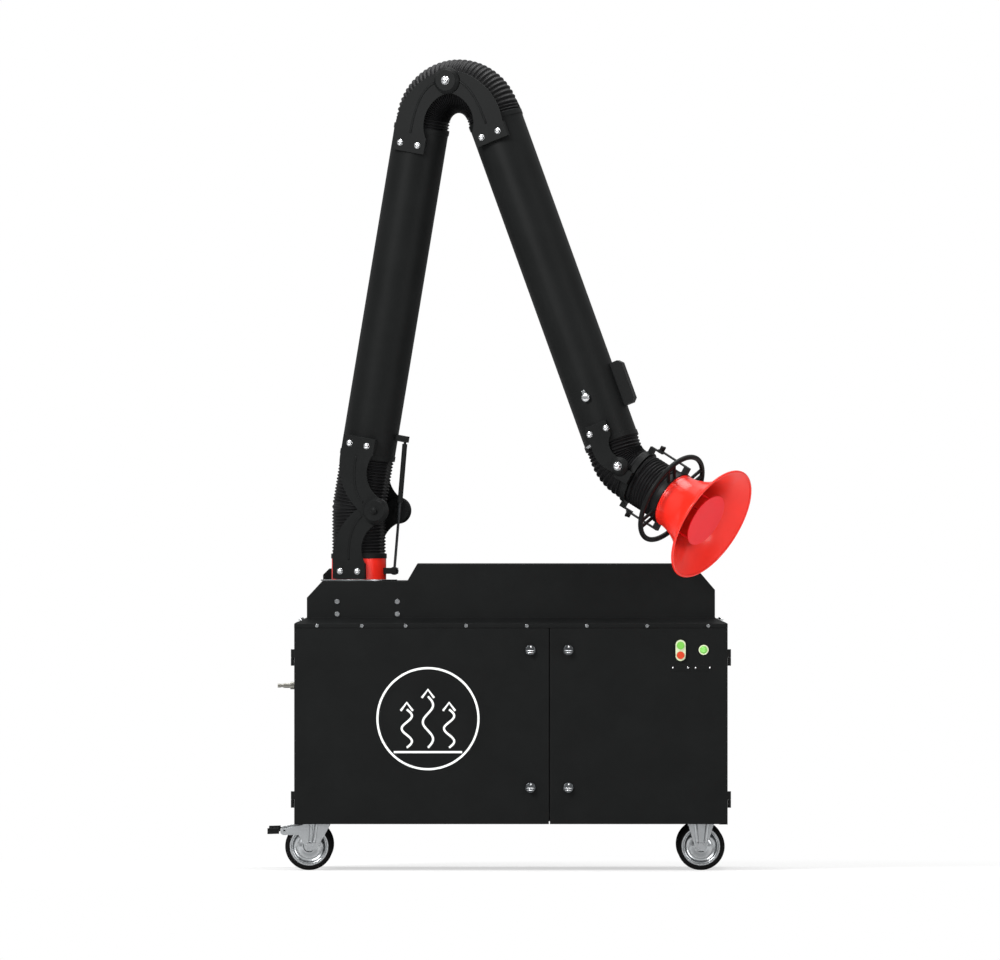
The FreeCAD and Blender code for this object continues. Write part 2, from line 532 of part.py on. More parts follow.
def controls():
    """Twin push-button block and pilot lamp on the right-hand door."""
    def capsule(name, wide, tall, depth, front):
        middle = box(name + "_middle", (f"switch_x - {wide}/2", front, f"switch_z - {tall}/2 + {wide}/2"),
                     (wide, depth, f"{tall} - {wide}"))
        ends = [rod(f"{name}_end{i}", f"{wide}/2", depth,
                    ("switch_x", front, f"switch_z {sign} ({tall}/2 - {wide}/2)"), AXIS_Y)
                for i, sign in enumerate("+-")]
        return fuse(name, middle, *ends)

    front = f"({DOOR_FRONT} - bezel_depth)"
    block = capsule("switch_block", "switch_wide", "switch_tall", "bezel_depth", front)
    wells = [rod(f"button_well_{i}", "button_radius + slide_gap", "bezel_depth + 2*overrun",
                 ("switch_x", f"{front} - overrun", f"switch_z {sign} button_pitch/2"), AXIS_Y)
             for i, sign in enumerate("+-")]
    ring = cut("lamp_ring", rod("lamp_ring_disc", "lamp_bezel_radius", "bezel_depth/2",
                                ("lamp_x", f"{DOOR_FRONT} - bezel_depth/2", "lamp_z"), AXIS_Y),
               rod("lamp_ring_hole", "lamp_radius + slide_gap", "bezel_depth + 2*overrun",
                   ("lamp_x", f"{front} - overrun", "lamp_z"), AXIS_Y))
    node("control_bezels", group("control_bezels", cut("switch_bezel", block, *wells), ring), CABINET)
    for label, sign in (("start_button", "+"), ("stop_button", "-")):
        start = f"({DOOR_FRONT} - seat_gap - button_travel - button_depth)"
        cap = rod(label + "_cap", "button_radius", "button_depth",
                  ("switch_x", start, f"switch_z {sign} button_pitch/2"), AXIS_Y)
        rounded = doc.addObject("Part::Chamfer", label + "_edge")
        rounded.Base = cap
        edge_size = size("button_edge")
        rounded.Edges = [(1, edge_size, edge_size), (3, edge_size, edge_size)]
        node(label, group(label, rounded), CABINET)
    base = "bezel_depth/2"
    dome = [("0", "0"), ("lamp_radius", "0"), ("lamp_radius", base), ("lamp_crown_radius", f"{base} + lamp_shoulder"),
            ("0", f"{base} + lamp_dome")]
    at = (size("lamp_x"), size(DOOR_FRONT), size("lamp_z"))
    node("pilot_lamp", turned_body("pilot_lamp", dome), CABINET.multiply(frame(at, AXIS_MINUS_Y)))


# Filter side
def filter_cartridges():
    """Two pleated cartridges lying on the tube sheet, with end caps and an open bore."""
    count = int(size("pleats"))
    tip, root = size("cartridge_radius - slide_gap"), size("cartridge_radius - pleat_depth")
    star = [vec(radius * math.cos(math.pi * i / count), radius * math.sin(math.pi * i / count), 0)
            for i, radius in zip(range(2 * count), (tip, root) * count)]
    face = Part.Face(Part.makePolygon(star + star[:1]))
    length, cap = size("cartridge_length"), size("cartridge_cap")
    bore = Part.makeCylinder(size("cartridge_bore_radius"), length)
    media = face.extrude(vec(0, 0, length)).cut(bore)
    collar = Part.makeCylinder(size("cartridge_radius"), cap).cut(Part.makeCylinder(size("cartridge_bore_radius"), cap))
    lid = Part.makeCylinder(size("cartridge_radius"), cap)
    lid.translate(vec(0, 0, length))
    whole = media.fuse([collar, lid])
    carts = []
    for i, sign in enumerate((-1, 1)):
        cart = formed(f"cartridge_{i}", whole)
        at = (size("seam_x - partition_wall/2"), sign * size("cartridge_y"), size("cartridge_z"))
        cart.Placement = frame(at, AXIS_MINUS_X)
        carts.append(cart)
    node("filter_cartridges", group("filter_cartridges", *carts), CABINET)


def dust_drawer():
    """Open dust tray under the cartridges."""
    low_x = "(-cabinet_width/2 + sheet + 2*floor_sheet)"
    low_y = f"({SHELL_FRONT} + 2*sheet + 2*floor_sheet + drawer_pull_deep)"
    low_z = "(floor_height + floor_sheet)"
    tray = box("dust_tray", (low_x, low_y, low_z), ("drawer_width", "drawer_depth", "drawer_height"))
    hollow = box("dust_hollow", (f"{low_x} + drawer_wall", f"{low_y} + drawer_wall", f"{low_z} + drawer_wall"),
                 ("drawer_width - 2*drawer_wall", "drawer_depth - 2*drawer_wall", "drawer_height"))
    pull = box("drawer_pull", (f"{low_x} + drawer_width/2 - drawer_pull_wide/2", f"{low_y} - drawer_pull_deep",
                               f"{low_z} + drawer_height - 2*drawer_pull_high"),
               ("drawer_pull_wide", "drawer_pull_deep", "drawer_pull_high"))
    grip = box("pull_grip", (f"{low_x} + drawer_width/2 - drawer_pull_wide/2 + drawer_wall",
                             f"{low_y} - drawer_pull_deep + drawer_wall",
                             f"{low_z} + drawer_height - 2*drawer_pull_high - overrun"),
               ("drawer_pull_wide - 2*drawer_wall", "drawer_pull_deep - drawer_wall", "drawer_pull_high + overrun - drawer_wall"))
    node("dust_drawer", fuse("dust_drawer", cut("tray_shell", tray, hollow), cut("pull_shell", pull, grip)), CABINET)


# Clean side
def air_tank():
    """Pulse-air tank with two valves and blow pipes aimed into the cartridges."""
    z = "(cartridge_z + tank_rise)"
    tank = rod("tank_shell", "tank_radius", "tank_length", ("tank_x", "-tank_length/2", z), AXIS_Y)
    rounded = doc.addObject("Part::Fillet", "tank_ends")
    rounded.Base = tank
    end_round = size("tank_round")
    rounded.Edges = [(1, end_round, end_round), (3, end_round, end_round)]
    start = "(seam_x + partition_wall/2 + blow_gap)"
    pieces = [rounded]
    for i, sign in enumerate(("-", "+")):
        pieces.append(rod(f"blow_pipe_{i}", "blow_pipe_radius", f"tank_x - {start}",
                          (start, f"{sign}cartridge_y", "cartridge_z"), AXIS_X))
        pieces.append(rod(f"pulse_valve_{i}", "valve_radius", "valve_length",
                          ("tank_x - tank_radius - valve_length", f"{sign}cartridge_y", "cartridge_z"), AXIS_X))
    wall = "(seam_x + partition_wall/2)"
    pieces.append(box("tank_bracket", (wall, "-tank_bracket/2", f"{z} - tank_bracket/2"),
                      (f"tank_x - {wall}", "tank_bracket", "tank_strap")))
    node("air_tank", fuse("air_tank", *pieces), CABINET)


def fan_housing():
    """Fan casing on feet: a drum with an open inlet and a tangential outlet spout."""
    outer = rod("fan_drum", "fan_radius", "fan_width", ("0", "0", "0"), AXIS_Y)
    spout = box("fan_spout", ("0", "0", "0"), ("fan_radius + fan_foot", "fan_width", "fan_radius"))
    inner = rod("drum_hollow", "fan_radius - fan_wall", "fan_width - 2*fan_wall", ("0", "fan_wall", "0"), AXIS_Y)
    spout_hollow = box("spout_hollow", ("0", "fan_wall", "fan_wall"),
                       ("fan_radius + fan_foot + overrun", "fan_width - 2*fan_wall", "fan_radius - 2*fan_wall"))
    inlet = rod("fan_inlet", "fan_inlet_radius", "2*fan_wall", ("0", "-fan_wall/2", "0"), AXIS_Y)
    shaft = rod("shaft_hole", "motor_shaft_radius + seat_gap", "4*fan_wall", ("0", "fan_width - 2*fan_wall", "0"), AXIS_Y)
    floor = "(floor_height + floor_sheet - fan_z)"
    feet = [box(f"fan_foot_{i}", (f"{x} - fan_foot/2", "0", floor), ("fan_foot", "fan_width", f"-{floor} - fan_radius/2"))
            for i, x in enumerate(("-fan_radius/2", "fan_radius/2"))]
    casing = cut("fan_casing", fuse("fan_solid", outer, spout, *feet), inner, spout_hollow, inlet, shaft)
    node("fan_housing", casing, CABINET.multiply(frame((size("fan_x"), size(FAN_Y), size("fan_z")))))


def fan_motor():
    """Finned motor on the casing's back plate, with its shaft."""
    start = "fan_width + seat_gap"
    barrel = rod("motor_barrel", "motor_radius", "motor_length", ("0", start, "0"), AXIS_Y)
    shaft = rod("motor_shaft", "motor_shaft_radius", f"fan_wall + impeller_plate + motor_shaft_in + {start}",
                ("0", "fan_width - fan_wall - impeller_plate - motor_shaft_in", "0"), AXIS_Y)
    fins = []
    for i in range(int(size("motor_fins"))):
        angle = 360 * i / int(size("motor_fins"))
        fin = box(f"motor_fin_{i}", ("0", start, "-motor_fin_wide/2"),
                  ("motor_radius + motor_fin", "motor_fin_long", "motor_fin_wide"))
        spun = group(f"motor_fin_turned_{i}", fin)
        spun.Placement = FreeCAD.Placement(FreeCAD.Vector(), turn((0, 1, 0), angle))
        fins.append(spun)
    node("fan_motor", fuse("fan_motor", barrel, shaft, *fins),
         CABINET.multiply(frame((size("fan_x"), size(FAN_Y), size("fan_z")))))


def fan_impeller():
    """Backward-curved impeller: back plate, hub, blades and inlet ring, axis along Y."""
    plate, wide = size("impeller_plate"), size("impeller_width")
    hub_radius, radius = size("impeller_hub_radius"), size("impeller_radius")
    inner, wall = size("blade_inner_radius"), size("blade_wall")
    back = Part.makeCylinder(radius, plate)
    hub = Part.makeCylinder(hub_radius, wide / 3)
    ring = Part.makeCylinder(radius, plate).cut(Part.makeCylinder(inner, plate))
    ring.translate(vec(0, 0, wide))
    lean = math.radians(size("blade_lean"))
    start, tip = vec(inner, 0, 0), vec(radius * math.cos(lean), radius * math.sin(lean), 0)
    bulge = vec((inner + radius) / 2 * math.cos(lean / 3), (inner + radius) / 2 * math.sin(lean / 3), 0)
    spine = Part.Arc(start, bulge, tip).toShape()
    band = spine.extrude(vec(0, 0, wide))
    blade = band.makeOffsetShape(wall, wall / 100, fill=True)
    disc = Part.makeCylinder(radius, wide + plate)
    blades = []
    for i in range(int(size("blades"))):
        copy = blade.copy()
        copy.rotate(vec(0, 0, 0), vec(0, 0, 1), 360 * i / int(size("blades")))
        blades.append(copy.common(disc))
    whole = back.fuse([hub, ring] + blades)
    bore = Part.makeCylinder(size("motor_shaft_radius + running_gap"), wide)
    bore.translate(vec(0, 0, -plate))
    at = (size("fan_x"), size(f"{FAN_Y} + fan_width - fan_wall - seat_gap") - plate / 2, size("fan_z"))
    node("fan_impeller", formed("fan_impeller", whole.cut(bore)), CABINET.multiply(frame(at, AXIS_MINUS_Y)))


for make in (doors, latches, controls, filter_cartridges, dust_drawer, air_tank, fan_housing, fan_motor, fan_impeller):
    make()


# Casters
WHEEL_Z = "wheel_radius"
CROWN_Z = "(2*wheel_radius + crown_gap)"
PLATE_Z = "(floor_height - caster_plate)"
CHEEK_Y = "(wheel_width/2 + fork_side_gap)"


def wheel(label, x, y):
    """Rubber tyre on a pressed rim, axis along Y."""
    place = CABINET.multiply(frame((size(x), size(y), size(WHEEL_Z)), AXIS_Y))
    tyre_inner, round_off = "wheel_radius - tyre_wall", "tyre_round"
    tyre = [(tyre_inner, "-wheel_width/2"), (f"wheel_radius - {round_off}", "-wheel_width/2"),
            ("wheel_radius", f"-wheel_width/2 + {round_off}"), ("wheel_radius", f"wheel_width/2 - {round_off}"),
            (f"wheel_radius - {round_off}", "wheel_width/2"), (tyre_inner, "wheel_width/2")]
    node(f"{label}_tyre", turned_body(f"{label}_tyre", tyre), place)
    edge, bore = f"({tyre_inner} - slide_gap)", "axle_radius + running_gap"
    rim = [(bore, "-rim_width/2"), ("hub_radius", "-rim_width/2"), ("hub_radius", "-rim_web/2"),
           (f"{edge} - rim_web", "-rim_web/2"), (f"{edge} - rim_web", "-rim_width/2"), (edge, "-rim_width/2"),
           (edge, "rim_width/2"), (f"{edge} - rim_web", "rim_width/2"), (f"{edge} - rim_web", "rim_web/2"),
           ("hub_radius", "rim_web/2"), ("hub_radius", "rim_width/2"), (bore, "rim_width/2")]
    node(f"{label}_rim", turned_body(f"{label}_rim", rim), place)


def fork_pieces(name, outline, axle_x, top):
    """Two cheeks under a crown, with the axle bolt as a solid of its own."""
    cheeks = plate_body(name + "_cheeks", "XZ_Plane", outline, f"2*{CHEEK_Y} + 2*fork_wall", True)
    slot = box(name + "_slot", ("-caster_trail - horn_out - overrun", f"-{CHEEK_Y}", "0"),
               ("2*caster_trail + 2*horn_out + 2*overrun", f"2*{CHEEK_Y}", top))
    through = f"2*{CHEEK_Y} + 2*fork_wall + 2*overrun"
    eye = rod(name + "_eye", "axle_radius + running_gap", through, (axle_x, f"-({through})/2", WHEEL_Z), AXIS_Y)
    span = f"(2*{CHEEK_Y} + 2*fork_wall)"
    bolt = rod(name + "_bolt", "axle_radius", f"{span} + 2*axle_head", (axle_x, f"-{span}/2 - axle_head", WHEEL_Z), AXIS_Y)
    heads = [rod(f"{name}_nut_{i}", "axle_head_radius", "axle_head", (axle_x, start, WHEEL_Z), AXIS_Y)
             for i, start in enumerate((f"-{span}/2 - axle_head - seat_gap", f"{span}/2 + seat_gap"))]
    return cheeks, (slot, eye), fuse(name + "_axle", bolt, *heads)


def swivel_caster(label, y):
    """Swivel fork with its axle, wheel and brake pedal, trailing to the left."""
    place = CABINET.multiply(frame((size(SWIVEL_X), size(y), 0)))
    crown_top = f"({CROWN_Z} + fork_crown)"
    horn_x, horn_z = "(-caster_trail - pedal_pivot_out)", "(wheel_radius + pedal_pivot_up)"
    low = "(wheel_radius - fork_eye_radius)"
    corners = (("horn_out", "horn_high"), ("horn_out", "horn_low"), ("horn_under_out", "horn_under"),
               ("fork_notch_out", "horn_under"), ("fork_waist_out", "fork_waist"))
    outline = [("swivel_radius", crown_top), ("-swivel_radius", crown_top),
               ("-caster_trail - fork_shoulder_out", "wheel_radius + fork_shoulder")]
    outline += [(f"-caster_trail - {out}", f"wheel_radius + {up}") for out, up in corners]
    outline += [("-caster_trail - fork_eye_radius/2", low), ("-caster_trail + fork_eye_radius/2", low),
                ("-caster_trail + fork_heel_out", "wheel_radius - fork_heel"),
                ("swivel_radius", f"{CROWN_Z} - fork_side_drop")]
    cheeks, cuts, axle = fork_pieces(label, outline, "-caster_trail", CROWN_Z)
    head = rod(label + "_head", "swivel_radius", f"{PLATE_Z} - seat_gap - {crown_top}", ("0", "0", crown_top))
    across = f"2*{CHEEK_Y} + 2*fork_wall"
    hole = rod(label + "_pin_hole", "pedal_pin_radius + running_gap", f"{across} + 2*overrun",
               (horn_x, f"-({across})/2 - overrun", horn_z), AXIS_Y)
    fork = cut(label + "_fork", fuse(label + "_fork_solid", cheeks, head), hole, *cuts)
    node(f"{label}_fork", group(f"{label}_fork_set", fork, axle), place)
    barrel = rod(label + "_barrel", "pedal_barrel_radius", "pedal_wide", (horn_x, "-pedal_wide/2", horn_z), AXIS_Y)
    pin = rod(label + "_pin", "pedal_pin_radius", across, (horn_x, f"-({across})/2", horn_z), AXIS_Y)
    drop = "pedal_dip"
    lever = [(horn_x, f"{horn_z} + pedal_wall"), (horn_x, horn_z),
             (f"{horn_x} - pedal_length", f"{horn_z} - {drop} - pedal_wall/2"),
             (f"{horn_x} - pedal_length", f"{horn_z} - {drop} + pedal_wall/2")]
    pad = [(f"{horn_x} - pedal_length + pedal_pad", f"{horn_z} - {drop}/2 - pedal_pad_wall/2"),
           (f"{horn_x} - pedal_length", f"{horn_z} - {drop} - pedal_pad_wall/2"),
           (f"{horn_x} - pedal_length", f"{horn_z} - {drop} + pedal_pad_wall/2"),
           (f"{horn_x} - pedal_length + pedal_pad", f"{horn_z} - {drop}/2 + pedal_pad_wall/2")]
    node(f"{label}_pedal", fuse(label + "_pedal", barrel, pin,
                                plate_body(label + "_lever", "XZ_Plane", lever, "pedal_wide", True),
                                plate_body(label + "_pad", "XZ_Plane", pad, "pedal_pad_wide", True)), place)
    wheel(label, f"{SWIVEL_X} - caster_trail", y)


def fixed_casters():
    """Fixed forks with their axles and wheels under the right-hand side."""
    sets = []
    low = "(wheel_radius - fork_eye_radius)"
    outline = [("fixed_fork_half", PLATE_Z), ("-fixed_fork_half", PLATE_Z), ("-fork_eye_radius", low),
               ("fork_eye_radius", low)]
    for label, y in (("right_front", f"-{CASTER_Y}"), ("right_rear", CASTER_Y)):
        cheeks, cuts, axle = fork_pieces(label, outline, "0", f"{PLATE_Z} - fork_crown")
        pair = group(label + "_fork_set", cut(label + "_fork", cheeks, *cuts), axle)
        pair.Placement = frame((size(FIXED_X), size(y), 0))
        sets.append(pair)
        wheel(label, FIXED_X, y)
    node("fixed_forks", group("fixed_forks", *sets), CABINET)


def caster_plates():
    """Top plates bolted under the floor tray."""
    plates = []
    for i, (x, y) in enumerate((x, y) for x in (SWIVEL_X, FIXED_X) for y in (f"-{CASTER_Y}", CASTER_Y)):
        plates.append(box(f"caster_plate_{i}", (f"{x} - caster_plate_long/2", f"{y} - caster_plate_wide/2", PLATE_Z),
                          ("caster_plate_long", "caster_plate_wide", "caster_plate")))
    node("caster_plates", group("caster_plates", *plates), CABINET)


swivel_caster("left_front", f"-{CASTER_Y}")
swivel_caster("left_rear", CASTER_Y)
fixed_casters()
caster_plates()


# Suction arm. Each frame has its Z along its tube and Y away from the front; pivots lie along Y.
def tilt(degrees):
    return turn((0, 1, 0), degrees)


TURRET = frame((size("arm_x"), size(f"cabinet_y + {ARM_Y}"), 0), turn((0, 0, 1), size("arm_yaw")))
BASE_PIVOT = TURRET.multiply(frame((size("base_offset"), 0, size("base_pivot_z"))))
LOWER = BASE_PIVOT.multiply(frame((0, 0, 0), tilt(size("lower_lean"))))
ELBOW = FreeCAD.Placement(LOWER.multVec(vec(0, 0, size("lower_reach"))), TURRET.Rotation)
OUTER = ELBOW.multiply(frame((0, 0, 0), tilt(size("180 - outer_lean"))))
HOOD_PIVOT = FreeCAD.Placement(
    OUTER.multVec(vec(-size("outer_offset + hood_pivot_forward"), 0, size("hood_pivot_along"))), TURRET.Rotation)
GIMBAL = HOOD_PIVOT.multiply(frame((0, 0, 0), tilt(size("90 + hood_dip"))))
HOOD = GIMBAL.multiply(frame((size("swing_side"), 0, size("swing_along")), turn((1, 0, 0), size("swing_turn"))))
LOWER_END, OUTER_END = "(lower_start + lower_length)", "(outer_start + outer_length)"
TUBE_FIT = "(tube_radius + saddle_gap)"
EYE_START_SHARE, EYE_END_SHARE, EYE_LOW_SHARE = 70, 215, -52
BULGE_SHARES = (-0.24, -0.16)


def pipe(name, outer, wall, x, start, length):
    """A plain tube along Z."""
    return cut(name, rod(name + "_outside", outer, length, (x, "0", start)),
               rod(name + "_bore", f"{outer} - ({wall})", f"{length} + 2*overrun", (x, "0", f"{start} - overrun")))


def bracket_outline(offset, along, eye, flip, half):
    """Banana-shaped cheek plate from the pivot eye to the saddle on the tube."""
    high = size("saddle_half")
    near = [(-offset + half, along - high), (-offset + half, along + high)]
    far = [(-offset - half, along + high), (-offset - half, along - high)]

    def eye_point(degrees):
        return eye*math.cos(math.radians(degrees)), eye*math.sin(math.radians(degrees))

    def bowed(a, b, share):
        return (a[0] + b[0])/2 - share*(b[1] - a[1]), (a[1] + b[1])/2 + share*(b[0] - a[0])

    first, last = eye_point(EYE_START_SHARE), eye_point(EYE_END_SHARE)
    flipped = [[(flip*x, z) for x, z in points] for points in (
        (far[0], near[1]), (near[1], near[0]), (near[0], bowed(near[0], first, BULGE_SHARES[0]), first),
        (first, eye_point(EYE_LOW_SHARE), last), (last, bowed(last, far[1], -BULGE_SHARES[1]), far[1]),
        (far[1], far[0]))]
    return [line(*points) if len(points) == 2 else arc(*points) for points in flipped]


def cheek_bracket(name, plate_start, offset, along, eye, flip, half="bracket_half"):
    """A pair of cheek plates with saddles to the tube, and their bolts as solids of their own."""
    middle = f"{-flip}*{offset}"
    tube = rod(name + "_tube_space", TUBE_FIT, "4*saddle_half", (middle, "0", f"{along} - 2*saddle_half"))
    solids = []
    for side, sign in (("near", -1), ("far", 1)):
        plate = padded(f"{name}_{side}_plate", "XZ_Plane",
                       bracket_outline(size(offset), size(along), size(eye), flip, size(half)), "plate_wall", True)
        plate.setExpression("Placement.Base.y", bound(f"{sign}*({plate_start} + plate_wall/2)"))
        start = f"{plate_start} - saddle_reach"
        low = "saddle_reach" if sign > 0 else f"-{plate_start}"
        block = box(f"{name}_{side}_saddle", (f"{middle} - {half}", low, f"{along} - saddle_half"),
                    (f"2*{half}", start, "2*saddle_half"))
        face = AXIS_Y if sign > 0 else AXIS_MINUS_Y
        bore = rod(f"{name}_{side}_bore", "pivot_radius + running_gap", "plate_wall + 2*overrun",
                   ("0", f"{sign}*({plate_start} - overrun)", "0"), face)
        solids.append(cut(f"{name}_{side}", fuse(f"{name}_{side}_solid", plate, block), tube, bore))
        for i, reach in enumerate(("-saddle_bolt_pitch/2", "saddle_bolt_pitch/2")):
            solids.append(group(f"{name}_{side}_bolt_{i}", rod(
                f"{name}_{side}_bolt_head_{i}", "saddle_bolt_radius", "saddle_bolt_head",
                (f"{middle} + {reach}", f"{sign}*({plate_start} + plate_wall + seat_gap)", along), face)))
    return solids


def friction_discs(name, eye):
    """Brake discs between the two pairs of cheek plates."""
    start = "(inner_plate + plate_wall + seat_gap)"
    discs = []
    for side, sign, face in (("near", "-", AXIS_MINUS_Y), ("far", "", AXIS_Y)):
        length = f"outer_plate - seat_gap - {start}"
        disc = rod(f"{name}_{side}_disc", f"{eye} + disc_over", length, ("0", f"{sign}{start}", "0"), face)
        bore = rod(f"{name}_{side}_disc_bore", "pivot_radius + running_gap", f"{length} + 2*overrun",
                   ("0", f"{sign}({start} - overrun)", "0"), face)
        discs.append(cut(f"{name}_{side}_friction", disc, bore))
    return discs


def pivot_caps(name, eye):
    """Domed caps and the pivot bolts through the cheek plates."""
    start = "(outer_plate + plate_wall + seat_gap)"
    solids = []
    for side, face in (("near", AXIS_MINUS_Y), ("far", AXIS_Y)):
        bore = "pivot_radius + running_gap"
        cap = turned_body(f"{name}_{side}_cap", [
            (bore, start), (f"{eye} + cap_over", start), (f"{eye} + cap_over", f"{start} + cap_rim"),
            (f"{eye} + cap_over - cap_taper", f"{start} + cap_height"), (bore, f"{start} + cap_height")])
        nut, top = "(inner_plate - seat_gap)", f"({start} + cap_height + seat_gap)"
        bolt = turned_body(f"{name}_{side}_pivot", [
            ("0", f"{nut} - pivot_nut"), ("pivot_head_radius", f"{nut} - pivot_nut"), ("pivot_head_radius", nut),
            ("pivot_radius", nut), ("pivot_radius", top), ("pivot_head_radius", top),
            ("pivot_head_radius", f"{top} + pivot_head"), ("0", f"{top} + pivot_head")])
        for thing in (cap, bolt):
            thing.Placement = frame((0, 0, 0), face)
            solids.append(thing)
    return solids


def hose_clamp(name, x, z):
    """Band round a tube end."""
    inner = "(tube_radius + seat_gap)"
    return pipe(name, f"{inner} + clamp_wall", "clamp_wall", x, f"{z} - clamp_width/2", "clamp_width")


def placed(name, place, solids):
    """Solids built about one pivot, moved into their frame."""
    together = group(name, *solids)
    together.Placement = place
    return together


def bent_path(first, radius, degrees, second):
    """Points along a straight, a bend toward +X and a straight: distance to (x, z, lean)."""
    angle = math.radians(degrees)

    def at(distance):
        if distance <= first:
            return 0, distance, 0
        turned = min((distance - first)/radius, angle)
        rest = max(0, distance - first - radius*angle)
        x = radius*(1 - math.cos(turned)) + rest*math.sin(turned)
        return x, first + radius*math.sin(turned) + rest*math.cos(turned), math.degrees(turned)
    return at, first + radius*angle + second


RIB_SHARES = (0.12, 0.34, 0.62, 0.84)
BORE_STEPS_SHARE = 14
CUFF_SHARE = 0.8


def ribbed_hose(name, first, radius, degrees, second, ribs):
    """Flexible hose: a ruled loft through four circles a rib, with a smooth bore."""
    at, total = bent_path(first, radius, degrees, second)
    cuff, root, crest = size("hose_cuff"), size("hose_root_radius"), size("hose_crest_radius")

    def circle(distance, r):
        x, z, lean = at(distance)
        # The start of every circle stays on the bend's own axis, so the loft does not twist.
        place = frame((x, 0, z), tilt(lean).multiply(turn((0, 0, 1), 90)))
        ring = Part.makeCircle(r)
        ring.Placement = place
        return Part.Wire(ring)

    pitch = (total - 2*cuff)/ribs
    stations = [(0, crest), (cuff*CUFF_SHARE, crest)]
    for i in range(ribs):
        stations += [(cuff + (i + share)*pitch, r) for share, r in zip(RIB_SHARES, (root, crest, crest, root))]
    stations += [(total - cuff*CUFF_SHARE, crest), (total, crest)]
    outside = Part.makeLoft([circle(*station) for station in stations], True, True)
    bore = size("hose_bore_radius")
    steps = [total*i/BORE_STEPS_SHARE for i in range(BORE_STEPS_SHARE + 1)]
    inside = Part.makeLoft([circle(distance, bore) for distance in steps], True, True)
    return formed(name, outside.cut(inside))


def arm_base():
    """Flange and spigot on the deck, and the collar that turns round the spigot."""
    foot = "deck_top"
    node("arm_flange", turned_body("arm_flange", [
        ("spigot_radius - spigot_wall", foot), ("flange_radius", foot), ("flange_radius", f"{foot} + flange_wall"),
        ("spigot_radius", f"{foot} + flange_wall"), ("spigot_radius", "spigot_top"),
        ("spigot_radius - spigot_wall", "spigot_top")]), TURRET)
    low = f"({foot} + flange_wall + seat_gap)"
    sleeve = pipe("collar_sleeve", "tube_radius", "tube_radius - spigot_radius - running_gap", "0", low,
                  f"collar_top - {low}")
    node("arm_collar", group("arm_collar", sleeve), TURRET)


def strut_ears(name, reach_x, z, tube_x):
    """Two ears from the tube to a cross pin, with the pin."""
    half = "(strut_eye_wall/2 + strut_ear_gap)"
    root = f"({tube_x} + saddle_reach)"
    ears = [box(f"{name}_{i}", (root, start, f"{z} - strut_eye_radius"),
                (f"{reach_x} + strut_eye_radius - {root}", "strut_ear", "2*strut_eye_radius"))
            for i, start in enumerate((f"-{half} - strut_ear", half))]
    bridge = box(f"{name}_bridge", (root, f"-{half}", f"{z} - strut_eye_radius"),
                 (f"{reach_x} - strut_slot_eye - 2*strut_ear_gap - {root}", f"2*{half}", "2*strut_eye_radius"))
    tube = rod(f"{name}_tube", TUBE_FIT, "4*strut_eye_radius", (tube_x, "0", f"{z} - 2*strut_eye_radius"))
    pin = rod(f"{name}_pin", "strut_pin_radius", f"2*({half} + strut_ear)", (reach_x, f"-{half} - strut_ear", z), AXIS_Y)
    return fuse(name, cut(name + "_seat", fuse(name + "_solid", bridge, *ears), tube), pin)


def base_joint():
    """Brackets on the collar, the hose round the base pivot and the lower strut anchor."""
    place = BASE_PIVOT.multiply(frame((0, 0, 0), tilt(180)))
    eye = "bracket_eye_radius"
    cheeks = placed("base_cheeks", place, cheek_bracket("base_parent", "inner_plate", "base_offset", "base_saddle",
                                                        eye, -1) + friction_discs("base", eye))
    own = placed("base_clamp_set", TURRET, [
        hose_clamp("base_clamp", "0", "collar_top"), strut_ears("strut_anchor", "strut_low_x", "strut_low_z", "0")])
    node("base_brackets", group("base_brackets", cheeks, own))
    hose = ribbed_hose("base_hose", size("base_pivot_z - collar_top"), size("base_offset"), size("lower_lean"),
                       size("lower_start"), int(size("base_ribs")))
    node("base_hose", hose, TURRET.multiply(frame((0, 0, size("collar_top")))))


def lower_arm():
    """Lower tube with its brackets at both ends and the elbow hose."""
    node("lower_tube", pipe("lower_tube", "tube_radius", "tube_wall", "-base_offset", "lower_start", "lower_length"),
         LOWER)
    eye = "bracket_eye_radius"
    low = placed("lower_cheeks", LOWER, cheek_bracket("lower_child", "outer_plate", "base_offset", "lower_saddle",
                                                      eye, 1) + pivot_caps("base", eye))
    pin = LOWER.inverse().multVec(TURRET.multVec(vec(size("strut_high_x"), 0, size("strut_high_z"))))
    ears = placed("strut_ears_set", LOWER, [
        hose_clamp("lower_clamp", "-base_offset", "lower_start"), hose_clamp("top_clamp", "-base_offset", LOWER_END),
        strut_ears("strut_ears", str(pin.x), str(pin.z), "-base_offset")])
    high = placed("elbow_cheeks", ELBOW.multiply(frame((0, 0, 0), tilt(size("180 + lower_lean")))), cheek_bracket(
        "elbow_parent", "inner_plate", "base_offset", "elbow_lower_saddle", eye, -1) + friction_discs("elbow", eye))
    node("lower_brackets", group("lower_brackets", low, ears, high))
    start = LOWER.multiply(frame((-size("base_offset"), 0, size(LOWER_END))))
    end = OUTER.multVec(vec(-size("outer_offset"), 0, size("outer_start")))
    hose_between("elbow_hose", start, end, size("180 - lower_lean - outer_lean"), size("elbow_bend"), "elbow_ribs")


def hose_between(name, start, end, degrees, radius, ribs):
    """A hose that leaves one frame along Z and bends toward its X to reach a point."""
    goal = start.inverse().multVec(end)
    angle = math.radians(degrees)
    second = goal.x/math.sin(angle)
    corner = goal.z - second*math.cos(angle)
    tangent = radius*math.tan(angle/2)
    node(name, ribbed_hose(name, corner - tangent, radius, degrees, second - tangent, int(size(ribs))), start)


